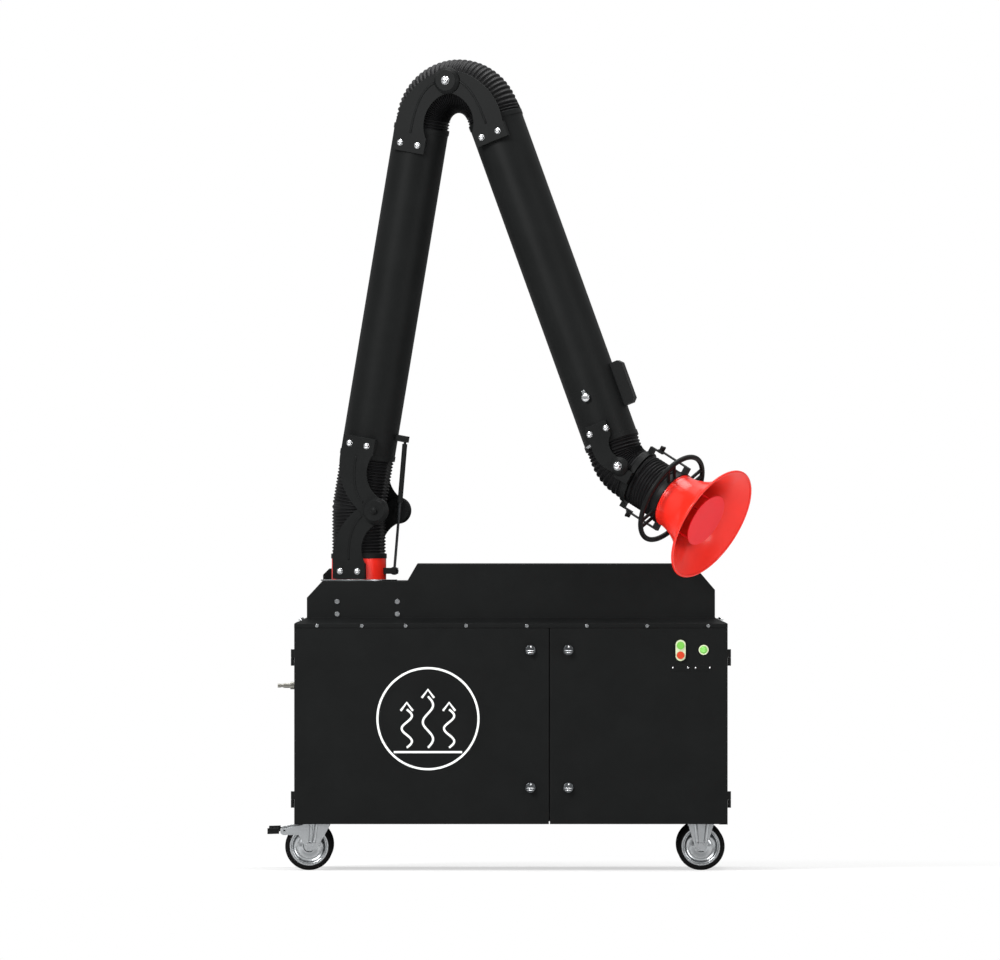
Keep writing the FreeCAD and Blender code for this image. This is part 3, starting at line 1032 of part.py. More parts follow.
def outer_arm():
    """Outer tube with its brackets, grab handle, damper and the hose to the gimbal."""
    tube = pipe("outer_pipe", "tube_radius", "tube_wall", "-outer_offset", "outer_start", "outer_length")
    across = "2*tube_radius + 2*overrun"
    hole = rod("shaft_hole", "damper_shaft_radius + running_gap", across,
               ("-outer_offset", f"-({across})/2", "damper_along"), AXIS_Y)
    node("outer_tube", cut("outer_tube", tube, hole), OUTER)
    eye = "bracket_eye_radius"
    high = placed("outer_cheeks", OUTER, cheek_bracket("elbow_child", "outer_plate", "outer_offset",
                                                       "elbow_outer_saddle", eye, 1) + pivot_caps("elbow", eye)
                  + [hose_clamp("outer_clamp", "-outer_offset", "outer_start"),
                     hose_clamp("end_clamp", "-outer_offset", OUTER_END)])
    low = placed("hood_cheeks", HOOD_PIVOT.multiply(frame((0, 0, 0), tilt(-size("outer_lean")))), cheek_bracket(
        "hood_parent", "inner_plate", "hood_pivot_forward", "hood_saddle", "hood_eye_radius", 1, "hood_bracket_half")
        + friction_discs("hood", "hood_eye_radius"))
    node("outer_brackets", group("outer_brackets", high, low))
    start = OUTER.multiply(frame((-size("outer_offset"), 0, size(OUTER_END)), turn((0, 0, 1), 180)))
    end = GIMBAL.multVec(vec(size("swing_side"), 0, size("swing_along - gimbal_back - gimbal_width/2")))
    hose_between("hood_hose_upper", start, end, size("90 - outer_lean - hood_dip"), size("hood_bend"),
                 "hood_upper_ribs")


def grab_handle():
    """Solid moulded grip bolted to the inner side of the outer tube."""
    top, back = "(-outer_offset - tube_radius - grab_proud)", "(-outer_offset - saddle_reach)"
    low, high = "(grab_along - grab_length/2)", "(grab_along + grab_length/2)"
    outline = [(back, low), (f"{top} + grab_wall", low), (top, f"{low} + grab_wall"), (top, f"{high} - grab_wall"),
               (f"{top} + grab_wall", high), (back, high)]
    grip = plate_body("grip_block", "XZ_Plane", outline, "grab_wide", True)
    tube = rod("grip_tube", TUBE_FIT, "2*grab_length", ("-outer_offset", "0", "grab_along - grab_length"))
    node("grab_handle", cut("grab_handle", grip, tube), OUTER)


def damper():
    """Butterfly plate on its shaft, with the turning knob on the front; it rests open."""
    middle = ("-outer_offset", "0", "damper_along")
    plate = rod("damper_plate", "damper_radius", "damper_wall", ("-outer_offset - damper_wall/2", *middle[1:]), AXIS_X)
    knob_start = "(tube_radius + seat_gap)"
    shaft = rod("damper_shaft", "damper_shaft_radius", f"2*{knob_start} + damper_knob/2",
                ("-outer_offset", f"-{knob_start} - damper_knob/2", "damper_along"), AXIS_Y)
    knob = rod("damper_knob", "damper_knob_radius", "damper_knob",
               ("-outer_offset", f"-{knob_start} - damper_knob", "damper_along"), AXIS_Y)
    pointer = box("damper_pointer", ("-outer_offset - damper_shaft_radius", f"-{knob_start} - damper_knob",
                                     "damper_along - damper_pointer"),
                  ("2*damper_shaft_radius", "damper_knob/2", "damper_pointer"))
    node("damper", fuse("damper", plate, shaft, knob, pointer), OUTER)


SWING_OUT = "(swing_half - swing_strap_wall - swing_gap)"


def gimbal():
    """Ring between the two hood hoses: pivoted on the arm, with straps and wing nuts for the swing axis."""
    start = "(swing_along - gimbal_back - gimbal_width/2)"
    ring = rod("gimbal_ring_outside", "gimbal_radius", "gimbal_width", ("swing_side", "0", start))
    bore = rod("gimbal_ring_bore", "saddle_reach", "gimbal_width + 2*overrun", ("swing_side", "0", f"{start} - overrun"))
    pieces, nuts, holes = [], [], [bore]
    for i, (sign, face) in enumerate((("-", AXIS_MINUS_Y), ("", AXIS_Y))):
        low = "saddle_reach" if sign == "" else "-outer_plate - plate_wall"
        pieces.append(box(f"gimbal_hold_{i}", ("swing_side - gimbal_hold/2", low, start),
                          ("gimbal_hold", "outer_plate + plate_wall - saddle_reach", "gimbal_width")))
        low = "outer_plate" if sign == "" else "-outer_plate - plate_wall"
        pieces.append(box(f"gimbal_plate_{i}", ("swing_side - gimbal_hold/2", low, "0"),
                          ("gimbal_hold", "plate_wall", f"{start} + gimbal_width")))
        pieces.append(rod(f"gimbal_eye_{i}", "hood_eye_radius", "plate_wall", ("0", f"{sign}outer_plate", "0"), face))
        holes.append(rod(f"gimbal_bore_{i}", "pivot_radius + running_gap", "plate_wall + 2*overrun",
                         ("0", f"{sign}(outer_plate - overrun)", "0"), face))
    for i, (sign, face) in enumerate((("-", AXIS_MINUS_X), ("+", AXIS_X))):
        inner, strap = "gimbal_radius - swing_strap_wall", f"({SWING_OUT} - swing_strap_wall)"
        low = f"swing_side + {inner}" if sign == "+" else f"swing_side - {SWING_OUT}"
        pieces.append(box(f"swing_bar_{i}", (low, "-swing_bar_wide/2", start),
                          (f"{SWING_OUT} - ({inner})", "swing_bar_wide", "gimbal_width")))
        low = f"swing_side + {strap}" if sign == "+" else f"swing_side - {SWING_OUT}"
        pieces.append(box(f"swing_strap_{i}", (low, "-swing_bar_wide/2", start),
                          ("swing_strap_wall", "swing_bar_wide", f"swing_along + swing_bar_wide/2 - {start}")))
        pieces.append(rod(f"swing_pin_{i}", "swing_pin_radius", f"swing_half + seat_gap + wing_nut - {strap}",
                          (f"swing_side {sign} {strap}", "0", "swing_along"), face))
        seat = "(swing_half + seat_gap)"
        boss = rod(f"wing_boss_{i}", "wing_nut_radius", "wing_nut", (f"swing_side {sign} {seat}", "0", "swing_along"), face)
        low = f"swing_side + {seat} + wing_base" if sign == "+" else f"swing_side - {seat} - wing_nut"
        wings = box(f"wings_{i}", (low, "-wing_span/2", "swing_along - wing_wall/2"),
                    ("wing_nut - wing_base", "wing_span", "wing_wall"))
        hole = rod(f"wing_hole_{i}", "swing_pin_radius + running_gap", "wing_nut + 2*overrun",
                   (f"swing_side {sign} ({seat} - overrun)", "0", "swing_along"), face)
        nuts.append(cut(f"wing_nut_{i}", fuse(f"wing_nut_solid_{i}", boss, wings), hole))
    frame_solid = cut("gimbal_frame", fuse("gimbal_solid", ring, *pieces), *holes)
    node("gimbal_ring", group("gimbal_ring", frame_solid, *nuts, *pivot_caps("hood", "hood_eye_radius")), GIMBAL)
    tangent = size("hood_bend")*math.tan(math.radians(size("swing_turn")/2))
    hose = ribbed_hose("hood_hose_lower", size("gimbal_back - gimbal_width/2") - tangent, size("hood_bend"),
                       size("swing_turn"), size("hood_neck") - tangent, int(size("hood_lower_ribs")))
    node("hood_hose_lower", hose, GIMBAL.multiply(frame(
        (size("swing_side"), 0, size("swing_along - gimbal_back + gimbal_width/2")), turn((0, 0, 1), -90))))


def bell_arc(wall):
    """Start, middle and end of the bell curve, one wall inside the outer face."""
    neck, begin = size("hood_neck_radius"), size("hood_neck + hood_neck_long")
    rise, run = size("hood_rim_radius") - neck, size("hood_rim") - begin
    radius = (rise*rise + run*run)/(2*rise)
    full = math.asin(run/radius)
    return [(neck + radius - (radius + wall)*math.cos(full*share), begin + (radius + wall)*math.sin(full*share))
            for share in (0, 1/2, 1)]


def hood():
    """Bell-mouthed hood on its neck."""
    outer, inner = bell_arc(0), bell_arc(size("hood_wall"))
    foot = size("hood_neck")
    edges = [line((inner[0][0], foot), (outer[0][0], foot)), line((outer[0][0], foot), outer[0]), arc(*outer),
             line(outer[2], inner[2]), arc(inner[2], inner[1], inner[0]), line(inner[0], (inner[0][0], foot))]
    node("hood", revolved("hood", edges), HOOD)




def baffle_disc():
    """Round impact plate in the mouth of the hood on stand-off rods from the neck."""
    level = "hood_rim - baffle_back"
    plate = rod("baffle_round", "baffle_radius", "baffle_wall", ("0", "0", level))
    out, foot = "hood_neck_radius - hood_wall - seat_gap - baffle_rod_radius", "hood_neck + baffle_rod_radius"
    legs = []
    for i in range(int(size("baffle_legs"))):
        leg = group(f"baffle_leg_{i}", rod(f"baffle_rod_{i}", "baffle_rod_radius",
                                           f"{level} + baffle_wall/2 - ({foot})", (out, "0", foot)))
        leg.Placement = frame((0, 0, 0), turn((0, 0, 1), 360*i/size("baffle_legs") + 90))
        legs.append(leg)
    node("baffle_disc", fuse("baffle_disc", plate, *legs), HOOD)


def handwheel():
    """Guide ring round the hood on paired spokes, with the straps of the swing axis."""
    ring = doc.addObject("Part::Torus", "guide_ring")
    ring.setExpression("Radius1", bound("wheel_ring_radius"))
    ring.setExpression("Radius2", bound("wheel_bar_radius"))
    set_place(ring, ("0", "0", "wheel_along"), FreeCAD.Rotation())
    seat = "(hood_neck_radius + seat_gap)"
    low = "(wheel_along - wheel_band/2)"
    band = rod("wheel_band", f"{seat} + wheel_band_wall", "wheel_band", ("0", "0", low))
    bore = rod("wheel_band_bore", seat, "wheel_band + 2*overrun", ("0", "0", f"{low} - overrun"))
    pieces, holes = [ring, band], [bore]
    pairs = int(size("wheel_spoke_pairs"))
    for i in range(pairs):
        spokes = fuse(f"spoke_pair_{i}", *[
            rod(f"spoke_{i}_{j}", "wheel_spoke_radius", f"wheel_ring_radius - {seat} + wheel_spoke_radius",
                (f"{seat} - wheel_spoke_radius", f"{sign}wheel_spoke_gap/2", "wheel_along"), AXIS_X)
            for j, sign in enumerate(("-", ""))])
        spokes.Placement = frame((0, 0, 0), turn((0, 0, 1), 360*(i + 1/2)/pairs))
        pieces.append(spokes)
    for i, (sign, face) in enumerate((("-", AXIS_MINUS_X), ("", AXIS_X))):
        inner = "(swing_half - swing_strap_wall)"
        low_x = inner if sign == "" else "-swing_half"
        pieces.append(box(f"hood_strap_{i}", (low_x, "-swing_bar_wide/2", "-swing_bar_wide/2"),
                          ("swing_strap_wall", "swing_bar_wide", f"{low} + wheel_band + swing_bar_wide/2")))
        low_x = seat if sign == "" else "-swing_half"
        pieces.append(box(f"hood_bar_{i}", (low_x, "-swing_bar_wide/2", low),
                          (f"swing_half - {seat}", "swing_bar_wide", "wheel_band")))
        holes.append(rod(f"hood_strap_hole_{i}", "swing_pin_radius + running_gap", "swing_strap_wall + 2*overrun",
                         (f"{sign}({inner} - overrun)", "0", "0"), face))
    node("handwheel", cut("handwheel", fuse("handwheel_solid", *pieces), *holes), HOOD)


def gas_strut():
    """Gas spring that carries the lower arm: cylinder from the arm, rod to the collar anchor."""
    start = vec(size("strut_high_x"), 0, size("strut_high_z"))
    run = vec(size("strut_low_x"), 0, size("strut_low_z")) - start
    place = TURRET.multiply(FreeCAD.Placement(start, tilt(math.degrees(math.atan2(run.x, run.z)))))
    eye = rod("cylinder_eye", "strut_eye_radius", "strut_eye_wall", ("0", "-strut_eye_wall/2", "0"), AXIS_Y)
    stem = rod("cylinder_stem", "strut_rod_radius", "strut_neck")
    tube = rod("cylinder_tube", "strut_cylinder_radius", "strut_cylinder", ("0", "0", "strut_neck"))
    bore = rod("cylinder_bore", "strut_bore_radius", "strut_cylinder", ("0", "0", "2*strut_eye_radius"))
    hole = rod("cylinder_hole", "strut_pin_radius + running_gap", "2*strut_eye_wall", ("0", "-strut_eye_wall", "0"), AXIS_Y)
    node("strut_cylinder", cut("strut_cylinder", fuse("cylinder_solid", eye, stem, tube), bore, hole), place)
    length = run.Length
    inside = "(strut_neck + strut_cylinder - strut_rod_in)"
    bar = rod("rod_bar", "strut_rod_radius", f"{length} - strut_slot_radius - strut_ear_gap - {inside}", ("0", "0", inside))
    loop_eye = rod("rod_eye", "strut_slot_eye", "strut_eye_wall", ("0", "-strut_eye_wall/2", str(length)), AXIS_Y)
    slot = rod("rod_slot", "strut_slot_radius", "2*strut_eye_wall", ("0", "-strut_eye_wall", str(length)), AXIS_Y)
    node("strut_rod", cut("strut_rod", fuse("rod_solid", bar, loop_eye), slot), place)


arm_base()
base_joint()
lower_arm()
outer_arm()
grab_handle()
damper()
gimbal()
hood()
baffle_disc()
handwheel()
gas_strut()


# Every object is checked before anything is written.
doc.recompute()
faulty = [thing.Name for thing in doc.Objects if "Invalid" in thing.State or "Error" in thing.State]
if faulty:
    raise RuntimeError("objects in error: " + ", ".join(faulty))
for label, thing in nodes.items():
    if thing.Shape.isNull() or not thing.Shape.isValid():
        raise RuntimeError("bad shape: " + label)
os.makedirs("parts", exist_ok=True)
for label, thing in nodes.items():
    thing.Shape.exportStep(f"parts/{label}.step")
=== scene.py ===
import json
import math

import bmesh
import bpy
from mathutils import Matrix, Vector


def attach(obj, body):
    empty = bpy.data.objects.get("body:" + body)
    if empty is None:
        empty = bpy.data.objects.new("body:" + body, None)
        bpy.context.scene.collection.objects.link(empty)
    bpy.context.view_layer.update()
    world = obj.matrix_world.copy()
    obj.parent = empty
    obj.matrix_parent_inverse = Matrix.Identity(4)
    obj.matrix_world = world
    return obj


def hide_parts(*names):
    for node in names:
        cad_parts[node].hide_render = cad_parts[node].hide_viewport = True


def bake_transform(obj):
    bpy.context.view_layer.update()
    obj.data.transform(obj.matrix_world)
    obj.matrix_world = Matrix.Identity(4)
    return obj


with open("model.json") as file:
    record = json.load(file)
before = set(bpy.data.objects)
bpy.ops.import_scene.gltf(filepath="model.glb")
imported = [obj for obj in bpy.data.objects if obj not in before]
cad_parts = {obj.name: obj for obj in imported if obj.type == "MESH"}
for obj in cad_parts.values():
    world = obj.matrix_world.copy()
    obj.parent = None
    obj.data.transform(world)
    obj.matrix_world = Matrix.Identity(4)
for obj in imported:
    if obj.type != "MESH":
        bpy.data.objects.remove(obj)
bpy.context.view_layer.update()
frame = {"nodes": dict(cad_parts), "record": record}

# Mobile welding fume extractor. Metres, +Z up, the doors face -Y.


def turn(axis, degrees):
    """Matrix that turns about an axis."""
    return Matrix.Rotation(math.radians(degrees), 4, axis)


def shift(x, y, z):
    """Matrix that moves by three lengths."""
    return Matrix.Translation((x, y, z))


# Frames of the arm, as in the part: Z runs along each tube and pivots lie along Y.
CABINET_Y, CABINET_HALF_DEPTH = 0.194, 0.350
CABINET_FRONT = CABINET_Y - CABINET_HALF_DEPTH
ARM_YAW, ARM_LEAN, OUTER_LEAN, HOOD_DIP, SWING_TURN = -20, 10, 20.96, 29.3, 9.4
TURRET_X, TURRET_AHEAD = -0.446, 0.185
# The tubes lie beside the line through the pivots.
LOWER_OFFSET, OUTER_OFFSET = 0.088, 0.068
BASE_PIVOT_Z, ELBOW_REACH = 1.0545, 1.279
HOOD_PIVOT_X, HOOD_PIVOT_REACH = -0.0963, 1.2466
SWING_X, SWING_REACH = 0.0167, 0.0628
TURRET = shift(TURRET_X, CABINET_Y - TURRET_AHEAD, 0) @ turn("Z", ARM_YAW)
BASE_PIVOT = TURRET @ shift(LOWER_OFFSET, 0, BASE_PIVOT_Z)
LOWER = BASE_PIVOT @ turn("Y", ARM_LEAN)
ELBOW = Matrix.Translation(LOWER @ Vector((0, 0, ELBOW_REACH))) @ turn("Z", ARM_YAW)
OUTER = ELBOW @ turn("Y", 180 - OUTER_LEAN)
HOOD_PIVOT = Matrix.Translation(OUTER @ Vector((HOOD_PIVOT_X, 0, HOOD_PIVOT_REACH))) @ turn("Z", ARM_YAW)
GIMBAL = HOOD_PIVOT @ turn("Y", 90 + HOOD_DIP)
HOOD = GIMBAL @ shift(SWING_X, 0, SWING_REACH) @ turn("X", SWING_TURN)
# Frames that point from a pivot back along the tube before it
COLLAR_SIDE = BASE_PIVOT @ turn("Y", 180)
ELBOW_SIDE = ELBOW @ turn("Y", 180 + ARM_LEAN)
HOOD_SIDE = HOOD_PIVOT @ turn("Y", -OUTER_LEAN)
# Ends of the collar and the tubes, where the hoses are clamped
TUBE_R = 0.080
COLLAR_TOP_Z, LOWER_START, LOWER_END, OUTER_START, OUTER_END = 0.921, 0.150, 1.120, 0.151, 1.157
COLLAR_TOP = TURRET @ shift(0, 0, COLLAR_TOP_Z)
LOWER_TOP = LOWER @ shift(-LOWER_OFFSET, 0, LOWER_END)
OUTER_TIP = OUTER @ shift(-OUTER_OFFSET, 0, OUTER_END)


# Materials
def linear(hex_colour):
    """Scene-linear colour of an sRGB hex value."""
    def channel(byte):
        c = int(byte, 16)/255
        return c/12.92 if c <= 0.04045 else ((c + 0.055)/1.055)**2.4
    return tuple(channel(hex_colour[i:i + 2]) for i in (1, 3, 5))


def add(tree, kind, links=(), **settings):
    """Adds a node, sets its sockets or properties by name, and links (output, input) pairs into it."""
    n = tree.nodes.new(kind)
    for key, value in settings.items():
        socket = next((s for s in n.inputs if s.name == key.replace("_", " ") and s.enabled), None)
        if socket is not None and not hasattr(n, key):
            socket.default_value = value
        else:
            setattr(n, key, value)
    for output, name in links:
        tree.links.new(output, n.inputs[name])
    return n


BROAD_SCALE, MOTTLE_LOW, MOTTLE_HIGH = 9.0, 0.3, 0.72
EDGE_SOFT, EDGE_SHARP, EDGE_GAIN, EDGE_LIFT = 0.98, 0.86, 1.6, 0.03
GLOSS_LESS, GLOSS_MORE, GLOSS_LEAST = 0.82, 1.18, 0.03
COAT_ROUGH, RELIEF = 0.12, 0.0004


def finish_material(name, colour, rough, metal=0.0, grain=900.0, bump=0.1, mottle=0.12, edge=0.0015,
                    wear=0.25, coat=0.0, spec=0.5):
    """Surface with colour mottle, uneven gloss, fine grain, softened edges and edge wear."""
    m = bpy.data.materials.new(name)
    m.use_nodes = True
    t = m.node_tree
    bsdf = t.nodes["Principled BSDF"]
    where = add(t, "ShaderNodeTexCoord").outputs["Object"]
    broad = add(t, "ShaderNodeTexNoise", [(where, "Vector")], Scale=BROAD_SCALE, Detail=5.0, Roughness=0.6)
    fine = add(t, "ShaderNodeTexNoise", [(where, "Vector")], Scale=grain, Detail=3.0, Roughness=0.5)
    base = linear(colour)
    ramp = add(t, "ShaderNodeValToRGB", [(broad.outputs["Fac"], "Fac")])
    dark, light = ramp.color_ramp.elements
    dark.position, light.position = MOTTLE_LOW, MOTTLE_HIGH
    dark.color = tuple(c*(1 - mottle) for c in base) + (1.0,)
    light.color = tuple(min(1.0, c*(1 + mottle)) for c in base) + (1.0,)
    soft = add(t, "ShaderNodeBevel", Radius=edge, samples=4)
    flat = add(t, "ShaderNodeNewGeometry")
    facing = add(t, "ShaderNodeVectorMath", [(soft.outputs["Normal"], 0), (flat.outputs["Normal"], 1)],
                 operation="DOT_PRODUCT")
    rub = add(t, "ShaderNodeMapRange", [(facing.outputs["Value"], "Value")])
    rub.inputs["From Min"].default_value = EDGE_SOFT
    rub.inputs["From Max"].default_value = EDGE_SHARP
    rub.inputs["To Max"].default_value = wear
    worn = add(t, "ShaderNodeMix", [(rub.outputs["Result"], "Factor")], data_type="RGBA")
    t.links.new(ramp.outputs["Color"], worn.inputs[6])
    worn.inputs[7].default_value = tuple(min(1.0, c*EDGE_GAIN + EDGE_LIFT) for c in base) + (1.0,)
    t.links.new(worn.outputs[2], bsdf.inputs["Base Color"])
    gloss = add(t, "ShaderNodeMapRange", [(broad.outputs["Fac"], "Value")])
    gloss.inputs["To Min"].default_value = max(GLOSS_LEAST, rough*GLOSS_LESS)
    gloss.inputs["To Max"].default_value = min(1.0, rough*GLOSS_MORE)
    t.links.new(gloss.outputs["Result"], bsdf.inputs["Roughness"])
    relief = add(t, "ShaderNodeBump", [(fine.outputs["Fac"], "Height"), (soft.outputs["Normal"], "Normal")],
                 Strength=bump, Distance=RELIEF)
    t.links.new(relief.outputs["Normal"], bsdf.inputs["Normal"])
    bsdf.inputs["Metallic"].default_value = metal
    bsdf.inputs["Specular IOR Level"].default_value = spec
    bsdf.inputs["Coat Weight"].default_value = coat
    bsdf.inputs["Coat Roughness"].default_value = COAT_ROUGH
    return m


# Colour, roughness and what departs from the defaults above
FINISHES = {
    "powder_coat": ("#121313", 0.56, dict(grain=1400.0, bump=0.22, edge=0.003, wear=0.3, spec=0.06)),
    "arm_coat": ("#131414", 0.46, dict(grain=1100.0, bump=0.12, edge=0.0012, wear=0.35, spec=0.07)),
    "hose_black": ("#0b0b0c", 0.5, dict(grain=700.0, bump=0.25, mottle=0.2, edge=0.0006, wear=0.1, spec=0.1)),
    "signal_red": ("#e5271a", 0.3, dict(grain=600.0, bump=0.05, mottle=0.06, coat=0.12, spec=0.25)),
    "black_plastic": ("#0e0f0f", 0.46, dict(grain=1300.0, bump=0.3, mottle=0.14, edge=0.002, spec=0.1)),
    "zinc": ("#a9acae", 0.24, dict(metal=1.0, grain=420.0, bump=0.03, mottle=0.1, edge=0.0012, wear=0.5)),
    "tyre_black": ("#070707", 0.7, dict(bump=0.35, mottle=0.2, edge=0.002, wear=0.12, spec=0.08)),
    "bright_chrome": ("#e2e4e6", 0.16, dict(metal=1.0, grain=500.0, bump=0.03, mottle=0.05, edge=0.0008,
                                            wear=0.4)),
    "brass_fitting": ("#7d7c76", 0.2, dict(metal=1.0, grain=700.0, bump=0.06, mottle=0.1, edge=0.0006)),
    "ivory_plastic": ("#c9d3b0", 0.34, dict(bump=0.06, mottle=0.04, edge=0.0008, spec=0.2)),
    "green_plastic": ("#72b84c", 0.28, dict(grain=800.0, bump=0.05, mottle=0.06, coat=0.1, edge=0.0008,
                                            spec=0.25)),
    "red_plastic": ("#c03d20", 0.28, dict(grain=800.0, bump=0.05, mottle=0.06, coat=0.1, edge=0.0008,
                                          spec=0.25)),
    "lamp_glass": ("#7cc65c", 0.12, dict(grain=400.0, bump=0.04, mottle=0.15, coat=0.3, edge=0.0008)),
    "filter_media": ("#e0ddd0", 0.9, dict(grain=500.0, bump=0.5, mottle=0.08, spec=0.2)),
    "tank_grey": ("#53565a", 0.4, dict(bump=0.15, mottle=0.1)),
    "disc_red": ("#dc2028", 0.42, dict(grain=600.0, bump=0.05, mottle=0.05, spec=0.15)),
    "strut_steel": ("#26282a", 0.3, dict(metal=0.6, grain=700.0, bump=0.04, mottle=0.1, edge=0.0006)),
    "latch_steel": ("#5d6062", 0.24, dict(metal=1.0, grain=600.0, bump=0.05, mottle=0.2, edge=0.001,
                                          wear=0.6)),
    "line_white": ("#eef0ee", 0.5, dict(bump=0.05, mottle=0.04)),
}
MATERIALS = {name: finish_material(name, colour, rough, **rest)
             for name, (colour, rough, rest) in FINISHES.items()}
# The strut rod and the latches are darker than the other bright metal, the hinges are painted with the
# cabinet, and the impact disc is a colder red.
NODE_FINISH = {
    "strut_rod": "strut_steel",
    "hinge_leaves": "powder_coat",
    "baffle_disc": "disc_red",
    "left_latch_low": "latch_steel",
    "left_latch_high": "latch_steel",
    "right_latch_low": "latch_steel",
    "right_latch_high": "latch_steel",
}
for part in frame["record"]["subparts"]:
    node = frame["nodes"].get(part["node"])
    if node:
        node.data.materials.clear()
        node.data.materials.append(MATERIALS[NODE_FINISH.get(part["node"], part["material_slot"])])


# Shared mesh helpers
def piece(name, bm_or_mesh, material, body=None, smooth=True):
    """A finished object in the shared frame with one material."""
    if isinstance(bm_or_mesh, bmesh.types.BMesh):
        bmesh.ops.recalc_face_normals(bm_or_mesh, faces=bm_or_mesh.faces)
        mesh = bpy.data.meshes.new(name)
        bm_or_mesh.to_mesh(mesh)
        bm_or_mesh.free()
    else:
        mesh = bm_or_mesh
    for face in mesh.polygons:
        face.use_smooth = smooth
    mesh.materials.clear()
    mesh.materials.append(MATERIALS[material])
    obj = bpy.data.objects.new(name, mesh)
    bpy.context.scene.collection.objects.link(obj)
    if body:
        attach(obj, body)
    return obj


def settled(name, bm):
    """Mesh with vertices and faces in the same order at every run, which bmesh operators leave open."""
    bmesh.ops.recalc_face_normals(bm, faces=bm.faces)
    verts = sorted(bm.verts, key=lambda v: tuple(round(c, 6) for c in v.co))
    rank = {v: i for i, v in enumerate(verts)}
    loops = []
    for face in bm.faces:
        loop = [rank[v] for v in face.verts]
        first = loop.index(min(loop))
        loops.append(loop[first:] + loop[:first])
    mesh = bpy.data.meshes.new(name)
    mesh.from_pydata([tuple(v.co) for v in verts], [], sorted(loops))
    bm.free()
    return mesh


def skin(bm, rows, closed):
    """Quads between neighbouring rows of vertices that each run round a section; open runs get end caps."""
    pairs = list(zip(rows, rows[1:] + rows[:1])) if closed else list(zip(rows, rows[1:]))
    for one, two in pairs:
        for k in range(len(one)):
            after = (k + 1) % len(one)
            bm.faces.new((one[k], one[after], two[after], two[k]))
    if not closed:
        bm.faces.new(rows[0])
        bm.faces.new(rows[-1])


def circle(count):
    """Angles that go round in equal steps."""
    return [2*math.pi*i/count for i in range(count)]


def lathe(name, place, profile, material, body, sides=96):
    """A closed ring turned round the place's Z axis from (radius, height) points."""
    bm = bmesh.new()
    rows = [[bm.verts.new(place @ Vector((r*math.cos(a), r*math.sin(a), z))) for r, z in profile]
            for a in circle(sides)]
    skin(bm, rows, closed=True)
    piece(name, bm, material, body)


def ring(name, place, radius, bar, material, body, sides, steps=14):
    """A round bar bent to a ring about the place's Z axis."""
    section = [(radius + bar*math.cos(b), bar*math.sin(b)) for b in circle(steps)]
    lathe(name, place, section, material, body, sides)


def swept(name, points, half, rise, face, material, body):
    """A low rounded ridge along points on a face; face is the outward direction at the points."""
    out = Vector(face)
    section = [(-1.0, 0.0), (-0.7, 0.7), (0.0, 1.0), (0.7, 0.7), (1.0, 0.0)]
    bm = bmesh.new()
    rows = []
    for i, p in enumerate(points):
        along = (points[min(i + 1, len(points) - 1)] - points[max(i - 1, 0)]).normalized()
        side = along.cross(out).normalized()
        rows.append([bm.verts.new(p + side*(half*s) + out*(rise*h)) for s, h in section])
    skin(bm, rows, closed=False)
    piece(name, bm, material, body)


# Hoses: rounded ribs on a thin skin, along the same straight, bend and straight as the part's solids
def bent_path(first, radius, degrees, second):
    """Place at a distance along the path, as (x, z, lean), and the path's length."""
    angle = math.radians(degrees)

    def at(distance):
        turned = min(max((distance - first)/radius, 0), angle)
        rest = max(0, distance - first - radius*angle)
        start = min(distance, first)
        x = radius*(1 - math.cos(turned)) + rest*math.sin(turned)
        return x, start + radius*math.sin(turned) + rest*math.cos(turned), math.degrees(turned)
    return at, first + radius*angle + second


HOSE_SIDES, RIB_STEPS, BORE_STEPS = 72, 8, 24
ROOT_R, CREST_R, BORE_R, RIB_FULLNESS = 0.0745, 0.079, 0.0725, 0.7
CUFF, CUFF_SHARE, CUFF_STEP = 0.010, 0.8, 0.001
CUFF_R = CREST_R - CUFF_STEP
GROOVE_FLAT, GROOVE_EDGE, GROOVE_WALL = math.radians(7), math.radians(15), 0.0006


def groove_share(angle):
    """Share of the groove depth at an angle round the hose: full at X, faded out on both sides."""
    off = abs((angle + math.pi) % (2*math.pi) - math.pi)
    fade = (GROOVE_EDGE - off)/(GROOVE_EDGE - GROOVE_FLAT)
    return min(1.0, max(0.0, fade))


def ribbed_hose(name, start, first, radius, degrees, second, ribs, groove=0.0):
    """Ribbed hose with plain cuffs, open bore and rounded ribs, laid along a straight, a bend and a straight.

    The groove along its X side leaves room for a strut."""
    at, total = bent_path(first, radius, degrees, second)
    pitch = (total - 2*CUFF)/ribs
    stations = [(0.0, CUFF_R), (CUFF*CUFF_SHARE, CUFF_R)]
    for i in range(ribs*RIB_STEPS + 1):
        wave = 0.5 - 0.5*math.cos(2*math.pi*i/RIB_STEPS)
        stations.append((CUFF + i*pitch/RIB_STEPS, ROOT_R + (CREST_R - ROOT_R)*wave**RIB_FULLNESS))
    stations += [(total - CUFF*CUFF_SHARE, CUFF_R), (total, CUFF_R)]
    stations += [(total*(1 - i/BORE_STEPS), BORE_R) for i in range(BORE_STEPS + 1)]
    bm = bmesh.new()
    rows = []
    for distance, r in stations:
        x, z, lean = at(distance)
        place = start @ shift(x, 0, z) @ turn("Y", lean)
        depth = groove if r > BORE_R and CUFF < distance < total - CUFF else 0.0
        row = []
        for a in circle(HOSE_SIDES):
            reach = max(BORE_R + GROOVE_WALL, r - depth*groove_share(a)) if depth else r
            row.append(bm.verts.new(place @ Vector((reach*math.cos(a), reach*math.sin(a), 0))))
        rows.append(row)
    skin(bm, rows, closed=True)
    obj = piece(name, bm, "hose_black")
    x, z, _ = at(total)
    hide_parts(name.removesuffix("_skin"))
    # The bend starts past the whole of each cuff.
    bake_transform(obj)


